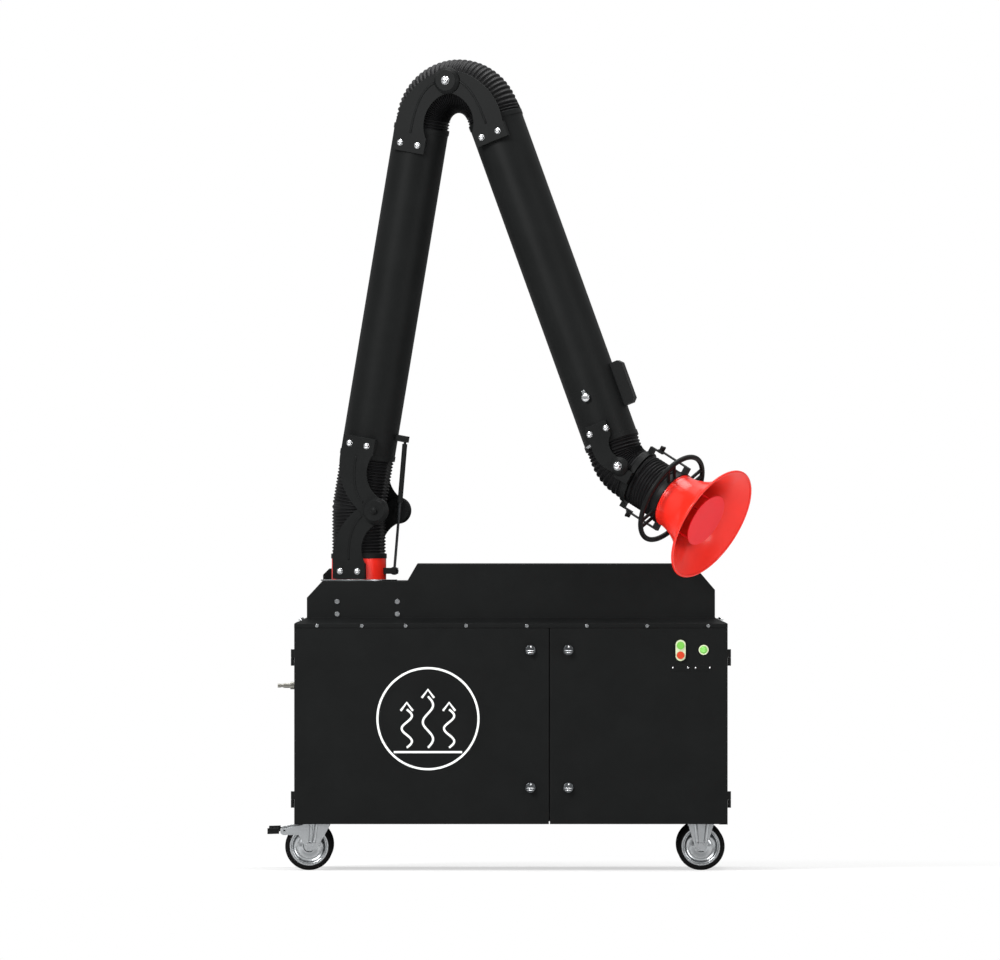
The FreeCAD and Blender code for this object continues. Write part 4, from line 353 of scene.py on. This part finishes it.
def hose_between(name, start, end, degrees, radius, ribs):
    """A hose that leaves one frame along Z and bends toward its X to reach a point."""
    goal = start.inverted() @ end
    angle = math.radians(degrees)
    second = goal.x/math.sin(angle)
    corner = goal.z - second*math.cos(angle)
    tangent = radius*math.tan(angle/2)
    ribbed_hose(name, start, corner - tangent, radius, degrees, second - tangent, ribs)


STRUT_GROOVE, ELBOW_BEND, HOOD_BEND = 0.0055, 0.112, 0.108
BASE_RIBS, ELBOW_RIBS, HOOD_UPPER_RIBS, HOOD_LOWER_RIBS = 29, 36, 11, 9
RING_SETBACK, RING_HALF, NECK_REACH = 0.026, 0.008, 0.092
RING_BACK = SWING_REACH - RING_SETBACK - RING_HALF
ribbed_hose("base_hose_skin", COLLAR_TOP, BASE_PIVOT_Z - COLLAR_TOP_Z, LOWER_OFFSET, ARM_LEAN, LOWER_START,
            BASE_RIBS, groove=STRUT_GROOVE)
hose_between("elbow_hose_skin", LOWER_TOP, OUTER @ Vector((-OUTER_OFFSET, 0, OUTER_START)),
             180 - ARM_LEAN - OUTER_LEAN, ELBOW_BEND, ELBOW_RIBS)
hose_between("hood_hose_upper_skin", OUTER_TIP @ turn("Z", 180), GIMBAL @ Vector((SWING_X, 0, RING_BACK)),
             90 - OUTER_LEAN - HOOD_DIP, HOOD_BEND, HOOD_UPPER_RIBS)
swing_tangent = HOOD_BEND*math.tan(math.radians(SWING_TURN/2))
ribbed_hose("hood_hose_lower_skin", GIMBAL @ shift(SWING_X, 0, RING_BACK + 2*RING_HALF) @ turn("Z", -90),
            RING_SETBACK - RING_HALF - swing_tangent, HOOD_BEND, SWING_TURN, NECK_REACH - swing_tangent,
            HOOD_LOWER_RIBS)


# Repeated fasteners, placed by Geometry Nodes
CROWN_SHARE, WASHER_SIDES = 0.84, 28
FASTENER_INPUTS = (
    ("Sides", "NodeSocketInt", 6),
    ("Head Radius", "NodeSocketFloat", 0.007),
    ("Head Height", "NodeSocketFloat", 0.005),
    ("Washer Radius", "NodeSocketFloat", 0.009),
    ("Washer Height", "NodeSocketFloat", 0.0012),
    ("Finish", "NodeSocketMaterial", None),
)


def fastener_tree():
    """Node group: a hexagon or round head with a domed crown on a washer at every point.

    Each one is turned to its point's own facing."""
    tree = bpy.data.node_groups.new("fasteners", "GeometryNodeTree")
    face = tree.interface
    face.new_socket("Geometry", in_out="INPUT", socket_type="NodeSocketGeometry")
    for label, kind, value in FASTENER_INPUTS:
        socket = face.new_socket(label, in_out="INPUT", socket_type=kind)
        if value is not None:
            socket.default_value = value
    face.new_socket("Geometry", in_out="OUTPUT", socket_type="NodeSocketGeometry")
    given = add(tree, "NodeGroupInput").outputs

    def scaled(output, factor):
        product = add(tree, "ShaderNodeMath", [(output, 0)], operation="MULTIPLY")
        product.inputs[1].default_value = factor
        return product.outputs[0]

    def total(one, two):
        return add(tree, "ShaderNodeMath", [(one, 0), (two, 1)], operation="ADD").outputs[0]

    def lifted(shape, height, *more):
        up = add(tree, "ShaderNodeCombineXYZ", [(height, "Z")]).outputs[0]
        links = [(shape.outputs["Mesh"], "Geometry"), (up, "Translation"), *more]
        return add(tree, "GeometryNodeTransform", links).outputs[0]

    half = scaled(given["Head Height"], 0.5)
    head = add(tree, "GeometryNodeMeshCylinder", [
        (given["Sides"], "Vertices"), (given["Head Radius"], "Radius"), (given["Head Height"], "Depth")])
    raised = lifted(head, total(half, given["Washer Height"]))
    disc = add(tree, "GeometryNodeMeshCylinder", [
        (given["Washer Radius"], "Radius"), (given["Washer Height"], "Depth")], Vertices=WASHER_SIDES)
    washer = lifted(disc, scaled(given["Washer Height"], 0.5))
    ball = add(tree, "GeometryNodeMeshUVSphere", Segments=24, Rings=12, Radius=1.0)
    wide = scaled(given["Head Radius"], CROWN_SHARE)
    dome = add(tree, "ShaderNodeCombineXYZ", [(wide, "X"), (wide, "Y"), (half, "Z")]).outputs[0]
    crown = lifted(ball, total(given["Head Height"], given["Washer Height"]), (dome, "Scale"))
    both = add(tree, "GeometryNodeJoinGeometry", [(raised, 0), (crown, 0), (washer, 0)])
    facing = add(tree, "GeometryNodeInputNamedAttribute", data_type="FLOAT_VECTOR")
    facing.inputs["Name"].default_value = "facing"
    aim = add(tree, "FunctionNodeAlignRotationToVector", [(facing.outputs[0], "Vector")], axis="Z")
    spread = add(tree, "GeometryNodeInstanceOnPoints", [
        (given["Geometry"], "Points"), (both.outputs[0], "Instance"), (aim.outputs[0], "Rotation")])
    real = add(tree, "GeometryNodeRealizeInstances", [(spread.outputs[0], "Geometry")])
    paint = add(tree, "GeometryNodeSetMaterial", [
        (real.outputs[0], "Geometry"), (given["Finish"], "Material")])
    add(tree, "NodeGroupOutput", [(paint.outputs[0], "Geometry")])
    return tree


FASTENERS = fastener_tree()


def fasteners(name, body, places, material="bright_chrome", **inputs):
    """Heads at (point, facing) places as one plain mesh that rides on a body."""
    seed_mesh = bpy.data.meshes.new(name + "_points")
    seed_mesh.from_pydata([tuple(p) for p, _ in places], [], [])
    facing = seed_mesh.attributes.new("facing", "FLOAT_VECTOR", "POINT")
    for row, (_, direction) in zip(facing.data, places):
        row.vector = direction
    holder = bpy.data.objects.new(name + "_points", seed_mesh)
    bpy.context.scene.collection.objects.link(holder)
    modifier = holder.modifiers.new("fasteners", "NODES")
    modifier.node_group = FASTENERS
    sockets = {s.name: s.identifier for s in FASTENERS.interface.items_tree if s.in_out == "INPUT"}
    for label, value in inputs.items():
        modifier[sockets[label.replace("_", " ")]] = value
    modifier[sockets["Finish"]] = MATERIALS[material]
    depsgraph = bpy.context.evaluated_depsgraph_get()
    mesh = bpy.data.meshes.new_from_object(holder.evaluated_get(depsgraph))
    bpy.data.objects.remove(holder)
    piece(name, mesh, material, body, smooth=False)


def across(place, n, x=0.0, z=0.0):
    """Points on both sides of a joint plane, each facing outward along the pivot."""
    side = place.to_3x3() @ Vector((0, 1, 0))
    return [(place @ Vector((x, s*n, z)), tuple(s*side)) for s in (-1, 1)]


PIVOT_HEAD = dict(Head_Radius=0.0095, Head_Height=0.0064, Washer_Radius=0.0125, Washer_Height=0.0014)
SADDLE_HEAD = dict(Head_Radius=0.0074, Head_Height=0.0042, Washer_Radius=0.0092)
FLANGE_HEAD = dict(Head_Radius=0.0055, Head_Height=0.0042, Washer_Radius=0.0075)
KNOB_HEAD = dict(Sides=32, Head_Radius=0.0100, Head_Height=0.0020, Washer_Radius=0.0112,
                 Washer_Height=0.0008)
RIVET_HEAD = dict(Sides=20, Head_Radius=0.0018, Head_Height=0.0010, Washer_Radius=0.0022,
                  Washer_Height=0.0005)

# Pivot bolts, and two saddle bolts on each cheek plate: frame, face, tube offset, distance along the tube
PIVOT_TOP, INNER_FACE, OUTER_FACE, BOLT_HALF_PITCH = 0.1106, 0.0883, 0.0963, 0.027
for name, place, body, finish in (
        ("base", LOWER, "lower_arm", "arm_coat"),
        ("elbow", OUTER, "outer_arm", "bright_chrome"),
        ("hood", GIMBAL, "gimbal", "bright_chrome")):
    fasteners(f"{name}_pivot_heads", body, across(place, PIVOT_TOP), finish, **PIVOT_HEAD)
for name, place, face, offset, along, body in (
        ("collar_saddle_heads", COLLAR_SIDE, INNER_FACE, LOWER_OFFSET, 0.178, "turret"),
        ("lower_saddle_heads", LOWER, OUTER_FACE, -LOWER_OFFSET, 0.181, "lower_arm"),
        ("elbow_lower_heads", ELBOW_SIDE, INNER_FACE, LOWER_OFFSET, 0.204, "lower_arm"),
        ("elbow_outer_heads", OUTER, OUTER_FACE, -OUTER_OFFSET, 0.195, "outer_arm"),
        ("hood_saddle_heads", HOOD_SIDE, INNER_FACE, OUTER_OFFSET + HOOD_PIVOT_X, 0.120, "outer_arm")):
    spots = [spot for reach in (-BOLT_HALF_PITCH, BOLT_HALF_PITCH)
             for spot in across(place, face, offset + reach, along)]
    fasteners(name, body, spots, **SADDLE_HEAD)

# Screws on the sloping side flanges of the cowl
FLANGE_X, FLANGE_Z, FLANGE_TILT = 0.6165, 0.7315, (0.4175, 0.9087)
FLANGE_ROW = (-0.104, 0.045, 0.194, 0.343, 0.492)
flange_spots = [(Vector((side*FLANGE_X, y, FLANGE_Z)), (side*FLANGE_TILT[0], 0.0, FLANGE_TILT[1]))
                for side in (-1, 1) for y in FLANGE_ROW]
fasteners("flange_screws", "cabinet", flange_spots, **FLANGE_HEAD)

# Bright cap on the damper knob, on the near side only
KNOB_TOP, KNOB_ALONG = 0.0903, 1.021
fasteners("damper_cap", "damper", across(OUTER, KNOB_TOP, -OUTER_OFFSET, KNOB_ALONG)[:1], **KNOB_HEAD)


# Worm housings on the hose clamps
BAND = 0.0016
CLAMP_R = TUBE_R + BAND
WORM_SIZE, WORM_ROUND, WORM_LIFT = (0.017, 0.005, 0.0085), 0.0015, 0.0024
WORM_SCREW_R, WORM_TIP_R, WORM_SCREW_LONG, WORM_SCREW_AT = 0.0036, 0.0032, 0.006, (0.0112, -0.0004, 0)
END_WORM_TURN = 34


def worm_housing(name, place, side, body):
    """Bright rounded housing with its screw on a clamp band, on the near (-1) or far (1) side."""
    bm = bmesh.new()
    bmesh.ops.create_cube(bm, size=1.0)
    bmesh.ops.scale(bm, vec=WORM_SIZE, verts=bm.verts)
    bmesh.ops.bevel(bm, geom=bm.edges[:], offset=WORM_ROUND, segments=3, affect="EDGES")
    screw = bmesh.ops.create_cone(bm, cap_ends=True, segments=18, radius1=WORM_SCREW_R, radius2=WORM_TIP_R,
                                  depth=WORM_SCREW_LONG)["verts"]
    bmesh.ops.transform(bm, matrix=shift(*WORM_SCREW_AT) @ turn("Y", 90), verts=screw)
    seat = place @ turn("Z", 90 + 90*side) @ shift(0, -CLAMP_R - WORM_LIFT, 0)
    bmesh.ops.transform(bm, matrix=seat, verts=bm.verts)
    piece(name, settled(name, bm), "bright_chrome", body, smooth=False)


worm_housing("collar_worm", COLLAR_TOP, 1, "turret")
worm_housing("lower_worm", LOWER @ shift(-LOWER_OFFSET, 0, LOWER_START), 1, "lower_arm")
worm_housing("elbow_worm", LOWER_TOP, 1, "lower_arm")
worm_housing("outer_worm", OUTER @ shift(-OUTER_OFFSET, 0, OUTER_START), 1, "outer_arm")
worm_housing("end_worm", OUTER_TIP @ turn("Z", END_WORM_TURN), -1, "outer_arm")


# Pressed beads on the cheek plates, from the pivot eye to the saddle
INNER_PLATE, OUTER_PLATE = 0.088, 0.096
BEAD_BOW, BEAD_RISE, BEAD_STEPS, BEAD_END = 1.05, 0.05, 24, 0.98
BEAD_HALF, BEAD_HIGH = 0.0034, 0.0016


def cheek_beads(name, place, face, offset, along, clear, body):
    """A bead on both cheek plates of a joint; clear is the share of the way that the eye takes."""
    for tag, s in (("near", -1), ("far", 1)):
        out = place.to_3x3() @ Vector((0, s, 0))
        points = []
        for i in range(BEAD_STEPS + 1):
            t = clear + (BEAD_END - clear)*i/BEAD_STEPS
            x = 2*t*(1 - t)*BEAD_BOW*offset + t*t*offset
            z = 2*t*(1 - t)*BEAD_RISE*along + t*t*along
            points.append(place @ Vector((x, s*face, z)))
        swept(f"{name}_{tag}_bead", points, BEAD_HALF, BEAD_HIGH, out, "arm_coat", body)


cheek_beads("collar", COLLAR_SIDE, INNER_PLATE, LOWER_OFFSET, along=0.150, clear=0.30, body="turret")
cheek_beads("lower", LOWER, OUTER_PLATE, -LOWER_OFFSET, along=0.155, clear=0.28, body="lower_arm")
cheek_beads("elbow_lower", ELBOW_SIDE, INNER_PLATE, LOWER_OFFSET, along=0.178, clear=0.26, body="lower_arm")
cheek_beads("elbow_outer", OUTER, OUTER_PLATE, -OUTER_OFFSET, along=0.168, clear=0.27, body="outer_arm")


# Hood: rolled rim and neck seam
RIM_Z, RIM_R, RIM_BAR = 0.2552, 0.1742, 0.0036
SEAM_Z, SEAM_R, SEAM_BAR = 0.1145, 0.0815, 0.0016
ring("hood_rolled_rim", HOOD @ shift(0, 0, RIM_Z), RIM_R, RIM_BAR, "signal_red", "hood", sides=160)
ring("hood_neck_seam", HOOD @ shift(0, 0, SEAM_Z), SEAM_R, SEAM_BAR, "signal_red", "hood", sides=120)


# Left-hand door: line drawing of rising air
SKIM, INK, LINE = 0.00005, 0.0004, 0.0062
DOOR_SKIM, INK_FRONT = CABINET_FRONT - SKIM, CABINET_FRONT - INK


def ribbon(name, points, closed=False):
    """A thin flat line on the door face through (x, z) points."""
    bm = bmesh.new()
    count = len(points)
    rows = []
    for i, (x, z) in enumerate(points):
        before = points[(i - 1) % count] if closed else points[max(i - 1, 0)]
        after = points[(i + 1) % count] if closed else points[min(i + 1, count - 1)]
        dx, dz = after[0] - before[0], after[1] - before[1]
        length = math.hypot(dx, dz)
        sx, sz = -dz/length*LINE/2, dx/length*LINE/2
        rows.append([bm.verts.new((x + s*sx, y, z + s*sz)) for s, y in
                     ((-1, DOOR_SKIM), (-1, INK_FRONT), (1, INK_FRONT), (1, DOOR_SKIM))])
    skin(bm, rows, closed)
    piece(name, bm, "line_white", "left_door", smooth=False)


ART_X, ART_Z, ART_R, ART_SIDES = -0.243, 0.445, 0.148, 96
WAVE_LOW, WAVE_SWAY, WAVE_TURNS, WAVE_STEPS = 0.085, 0.015, 1.5, 40
# Sideways place and height of the three waves
WAVES = ((-0.062, 0.112), (0.0, 0.150), (0.062, 0.112))
TIP_HALF, TIP_BACK, TIP_RISE = 0.018, 0.004, 0.020
GROUND_HALF, GROUND_LOW = 0.100, 0.098
circle_line = [(ART_X + ART_R*math.cos(a), ART_Z + ART_R*math.sin(a)) for a in circle(ART_SIDES)]
ribbon("art_circle", circle_line, closed=True)
for i, (reach, tall) in enumerate(WAVES):
    wave = [(ART_X + reach + WAVE_SWAY*math.sin(2*math.pi*t*WAVE_TURNS), ART_Z - WAVE_LOW + tall*t)
            for t in (k/WAVE_STEPS for k in range(WAVE_STEPS + 1))]
    ribbon(f"art_wave_{i}", wave)
    tip_x, tip_z = wave[-1]
    ribbon(f"art_tip_{i}", [(tip_x - TIP_HALF, tip_z - TIP_BACK), (tip_x, tip_z + TIP_RISE),
                            (tip_x + TIP_HALF, tip_z - TIP_BACK)])
ribbon("art_ground", [(ART_X - GROUND_HALF, ART_Z - GROUND_LOW), (ART_X + GROUND_HALF, ART_Z - GROUND_LOW)])


# Casters: dished wheel discs, pressed ribs on the fork cheeks
WHEEL_R, CASTER_Y, CHEEK_OUT, RIB_SINK = 0.070, 0.250, 0.0245, 0.0001
SWIVEL_WHEEL_X, FIXED_WHEEL_X = -0.592, 0.557
DISH = [(0.0155, 0.0030), (0.0155, 0.0146), (0.0190, 0.0146), (0.0225, 0.0128), (0.0270, 0.0080),
        (0.0330, 0.0064), (0.0400, 0.0070), (0.0445, 0.0094), (0.0480, 0.0130), (0.0500, 0.0142),
        (0.0512, 0.0138), (0.0512, 0.0030)]
# Sideways places of the two ribs on a cheek, from the axle
SWIVEL_RIBS, FIXED_RIBS = (0.006, 0.022), (-0.016, 0.020)
RIB_LOW, RIB_TALL, RIB_SPANS, RIB_TAPER = 0.080, 0.060, 11, 0.35
RIB_HALF, RIB_HIGH = 0.0052, 0.0030
for label, x, y, fork, ribs in (
        ("left_front", SWIVEL_WHEEL_X, -CASTER_Y, "left_front_swivel", SWIVEL_RIBS),
        ("left_rear", SWIVEL_WHEEL_X, CASTER_Y, "left_rear_swivel", SWIVEL_RIBS),
        ("right_front", FIXED_WHEEL_X, -CASTER_Y, "cabinet", FIXED_RIBS),
        ("right_rear", FIXED_WHEEL_X, CASTER_Y, "cabinet", FIXED_RIBS)):
    for tag, s in (("near", -1), ("far", 1)):
        hub = shift(x, CABINET_Y + y, WHEEL_R) @ turn("X", -90*s)
        lathe(f"{label}_{tag}_dish", hub, DISH, "zinc", f"{label}_wheel")
        for i, reach in enumerate(ribs):
            rib_y = CABINET_Y + y + s*(CHEEK_OUT - RIB_SINK)
            line = [Vector((x + reach*(1 - RIB_TAPER*(1 - up)), rib_y, RIB_LOW + RIB_TALL*up))
                    for up in (k/RIB_SPANS for k in range(RIB_SPANS + 1))]
            swept(f"{label}_{tag}_rib_{i}", line, RIB_HALF, RIB_HIGH, (0, s, 0), "zinc", fork)


# Latch fittings: a rim, and a bright cross bar with a lower lip and a knob on each grip
LATCH_FRONT, GRIP_FRONT = -0.1630, -0.1720
LATCH_COLUMNS = (("left", 0.0571), ("right", 0.1681))
LATCH_LEVELS = (("low", 0.243), ("high", 0.646))
# Half length, rise and radius of the two bars
LATCH_BARS = ((0.0115, -0.0015, 0.0016), (0.0090, -0.0075, 0.0013))
LATCH_KNOB_R, LATCH_KNOB_X, LATCH_KNOB_Z = 0.0034, 0.0012, 0.0095
LATCH_RIM_R, LATCH_RIM_BAR = 0.0132, 0.0010
for side, x in LATCH_COLUMNS:
    for level, z in LATCH_LEVELS:
        bm = bmesh.new()
        for reach, rise, thick in LATCH_BARS:
            bar = bmesh.ops.create_cone(bm, cap_ends=True, segments=16, radius1=thick, radius2=thick,
                                        depth=2*reach)["verts"]
            bmesh.ops.transform(bm, matrix=shift(x, GRIP_FRONT, z + rise) @ turn("Y", 90), verts=bar)
        knob = bmesh.ops.create_uvsphere(bm, u_segments=20, v_segments=12, radius=LATCH_KNOB_R)["verts"]
        bmesh.ops.transform(bm, matrix=shift(x + LATCH_KNOB_X, GRIP_FRONT, z + LATCH_KNOB_Z), verts=knob)
        body = f"{side}_latch_{level}"
        piece(f"{body}_bars", settled(f"{body}_bars", bm), "bright_chrome", body)
        ring(f"{body}_rim", shift(x, LATCH_FRONT, z) @ turn("X", 90), LATCH_RIM_R, LATCH_RIM_BAR,
             "latch_steel", body, sides=64, steps=8)


# Black strip in the gap between the doors and the cowl: painted shade, so that the gap reads dark
GAP_SHADE_HALF, GAP_SHADE_FRONT, GAP_SHADE_BACK, GAP_SHADE_LOW, GAP_SHADE_TOP = 0.612, -0.1335, -0.1295, 0.7005, 0.7108
bm = bmesh.new()
bmesh.ops.create_cube(bm, size=1.0)
bmesh.ops.scale(bm, vec=(2*GAP_SHADE_HALF, GAP_SHADE_BACK - GAP_SHADE_FRONT, GAP_SHADE_TOP - GAP_SHADE_LOW), verts=bm.verts)
bmesh.ops.translate(bm, vec=(0, (GAP_SHADE_FRONT + GAP_SHADE_BACK)/2, (GAP_SHADE_LOW + GAP_SHADE_TOP)/2), verts=bm.verts)
piece("door_gap_shade_strip", bm, "tyre_black", "cabinet", smooth=False)


# Right-hand door: two blank plates on rivets below the switches
PLATE_THICK, PLATE_CLIP, PLATE_TALL, PLATE_Z = 0.0010, 0.0025, 0.018, 0.594
PLATE_FRONT = CABINET_FRONT - PLATE_THICK
SWITCH_PLATE_WIDE, LAMP_PLATE_WIDE = 0.054, 0.052
SWITCH_RIVETS, LAMP_RIVETS = (0.474, 0.5185), (0.5405, 0.5825)


def blank_plate(name, rivets, wide):
    """A thin plate with clipped corners on the door face, centred between two rivets."""
    x, z = sum(rivets)/2, PLATE_Z
    w, t = wide/2, PLATE_TALL/2
    cut_w, cut_t = w - PLATE_CLIP, t - PLATE_CLIP
    rim = [(-cut_w, -t), (cut_w, -t), (w, -cut_t), (w, cut_t), (cut_w, t), (-cut_w, t), (-w, cut_t),
           (-w, -cut_t)]
    bm = bmesh.new()
    back, front = ([bm.verts.new((x + px, y, z + pz)) for px, pz in rim] for y in (DOOR_SKIM, PLATE_FRONT))
    skin(bm, [back, front], closed=False)
    piece(name, bm, "powder_coat", "right_door", smooth=False)


blank_plate("switch_plate", SWITCH_RIVETS, SWITCH_PLATE_WIDE)
blank_plate("lamp_plate", LAMP_RIVETS, LAMP_PLATE_WIDE)
rivet_places = [(Vector((x, PLATE_FRONT, PLATE_Z)), (0, -1, 0)) for x in SWITCH_RIVETS + LAMP_RIVETS]
fasteners("plate_rivets", "right_door", rivet_places, **RIVET_HEAD)


# Camera: a long lens from the front, with the scale true just before the doors
METRES_PER_PIXEL, PICTURE_WIDE, SENSOR = 0.002925, 1000, 36.0
CAMERA_X, CAMERA_Z, CAMERA_FAR, TRUE_SCALE_AT, CAMERA_CLIP = -0.032, 1.144, 70.0, 0.25, 200.0
camera_data = bpy.data.cameras.new("photo_view")
camera_data.sensor_width = SENSOR
camera_data.lens = SENSOR*(CAMERA_FAR - TRUE_SCALE_AT)/(PICTURE_WIDE*METRES_PER_PIXEL)
camera_data.clip_end = CAMERA_CLIP
camera = bpy.data.objects.new("photo_view", camera_data)
camera.location = (CAMERA_X, -CAMERA_FAR, CAMERA_Z)
camera.rotation_euler = (math.radians(90), 0, 0)
bpy.context.scene.collection.objects.link(camera)
bpy.context.scene.camera = camera


# Floor, light and room
FLOOR_REACH, FLOOR_GREY, FLOOR_ROUGH = 60.0, 0.9, 0.9
SHADE_NEAR, SHADE_FAR, SHADE_LEAST = 0.9, 2.4, 0.6


def floor():
    """Pale floor that keeps the soft shadow under the part and runs out to plain white."""
    corners = [(-FLOOR_REACH, -FLOOR_REACH, 0), (FLOOR_REACH, -FLOOR_REACH, 0), (FLOOR_REACH, FLOOR_REACH, 0),
               (-FLOOR_REACH, FLOOR_REACH, 0)]
    mesh = bpy.data.meshes.new("floor")
    mesh.from_pydata(corners, [], [(0, 1, 2, 3)])
    m = bpy.data.materials.new("floor")
    m.use_nodes = True
    t = m.node_tree
    bsdf = t.nodes["Principled BSDF"]
    bsdf.inputs["Base Color"].default_value = (FLOOR_GREY, FLOOR_GREY, FLOOR_GREY, 1.0)
    bsdf.inputs["Roughness"].default_value = FLOOR_ROUGH
    rays = add(t, "ShaderNodeLightPath")
    where = add(t, "ShaderNodeTexCoord").outputs["Object"]
    away = add(t, "ShaderNodeVectorMath", [(where, 0)], operation="LENGTH")
    spread = add(t, "ShaderNodeMapRange", [(away.outputs["Value"], "Value")], interpolation_type="SMOOTHSTEP")
    spread.inputs["From Min"].default_value = SHADE_NEAR
    spread.inputs["From Max"].default_value = SHADE_FAR
    spread.inputs["To Min"].default_value = SHADE_LEAST
    viewed = add(t, "ShaderNodeMath", [(rays.outputs["Is Camera Ray"], 0), (spread.outputs["Result"], 1)],
                 operation="MULTIPLY")
    white = add(t, "ShaderNodeEmission", Strength=1.0)
    mixed = add(t, "ShaderNodeMixShader", [
        (viewed.outputs[0], 0), (bsdf.outputs[0], 1), (white.outputs[0], 2)])
    t.links.new(mixed.outputs[0], t.nodes["Material Output"].inputs["Surface"])
    mesh.materials.append(m)
    obj = bpy.data.objects.new("floor", mesh)
    bpy.context.scene.collection.objects.link(obj)


def softbox(name, at, aim, wide, tall, watts):
    """A rectangular area light aimed at a point."""
    data = bpy.data.lights.new(name, "AREA")
    data.shape = "RECTANGLE"
    data.size, data.size_y, data.energy = wide, tall, watts
    lamp = bpy.data.objects.new(name, data)
    lamp.location = at
    lamp.rotation_euler = (Vector(aim) - Vector(at)).to_track_quat("-Z", "Y").to_euler()
    bpy.context.scene.collection.objects.link(lamp)


# Metal mirrors the white room overhead and darkens toward eye level.
MIRROR_HEIGHT, ROOM_LIGHT = 0.5, 0.26


def room():
    """White to the camera and through glass, dimmer as a light, brighter with height in a mirror."""
    world = bpy.data.worlds.new("studio")
    world.use_nodes = True
    t = world.node_tree
    plain = t.nodes["Background"]
    plain.inputs["Color"].default_value = (1.0, 1.0, 1.0, 1.0)
    rays = add(t, "ShaderNodeLightPath")
    clear = add(t, "ShaderNodeMath", [
        (rays.outputs["Is Camera Ray"], 0), (rays.outputs["Is Transmission Ray"], 1)], operation="MAXIMUM")
    where = add(t, "ShaderNodeTexCoord").outputs["Generated"]
    toward = add(t, "ShaderNodeSeparateXYZ", [(where, "Vector")])
    height = add(t, "ShaderNodeMapRange", [(toward.outputs["Z"], "Value")])
    height.inputs["From Max"].default_value = MIRROR_HEIGHT
    mirror = add(t, "ShaderNodeMath", [(rays.outputs["Is Glossy Ray"], 0), (height.outputs["Result"], 1)],
                 operation="MULTIPLY")
    shine = add(t, "ShaderNodeMath", [(mirror.outputs[0], 0), (clear.outputs[0], 1)], operation="MAXIMUM")
    seen = add(t, "ShaderNodeMapRange", [(shine.outputs[0], "Value")])
    seen.inputs["To Min"].default_value = ROOM_LIGHT
    t.links.new(seen.outputs["Result"], plain.inputs["Strength"])
    bpy.context.scene.world = world


floor()
softbox("key", at=(-3.2, -4.2, 4.2), aim=(0, 0, 1.0), wide=2.0, tall=2.0, watts=400)
softbox("fill", at=(3.8, -4.0, 2.4), aim=(0, 0, 1.0), wide=1.6, tall=2.8, watts=100)
softbox("top", at=(0.3, 0.6, 5.2), aim=(0, 0, 0.9), wide=3.0, tall=3.0, watts=190)
room()
bpy.context.scene.view_settings.view_transform = "Standard"
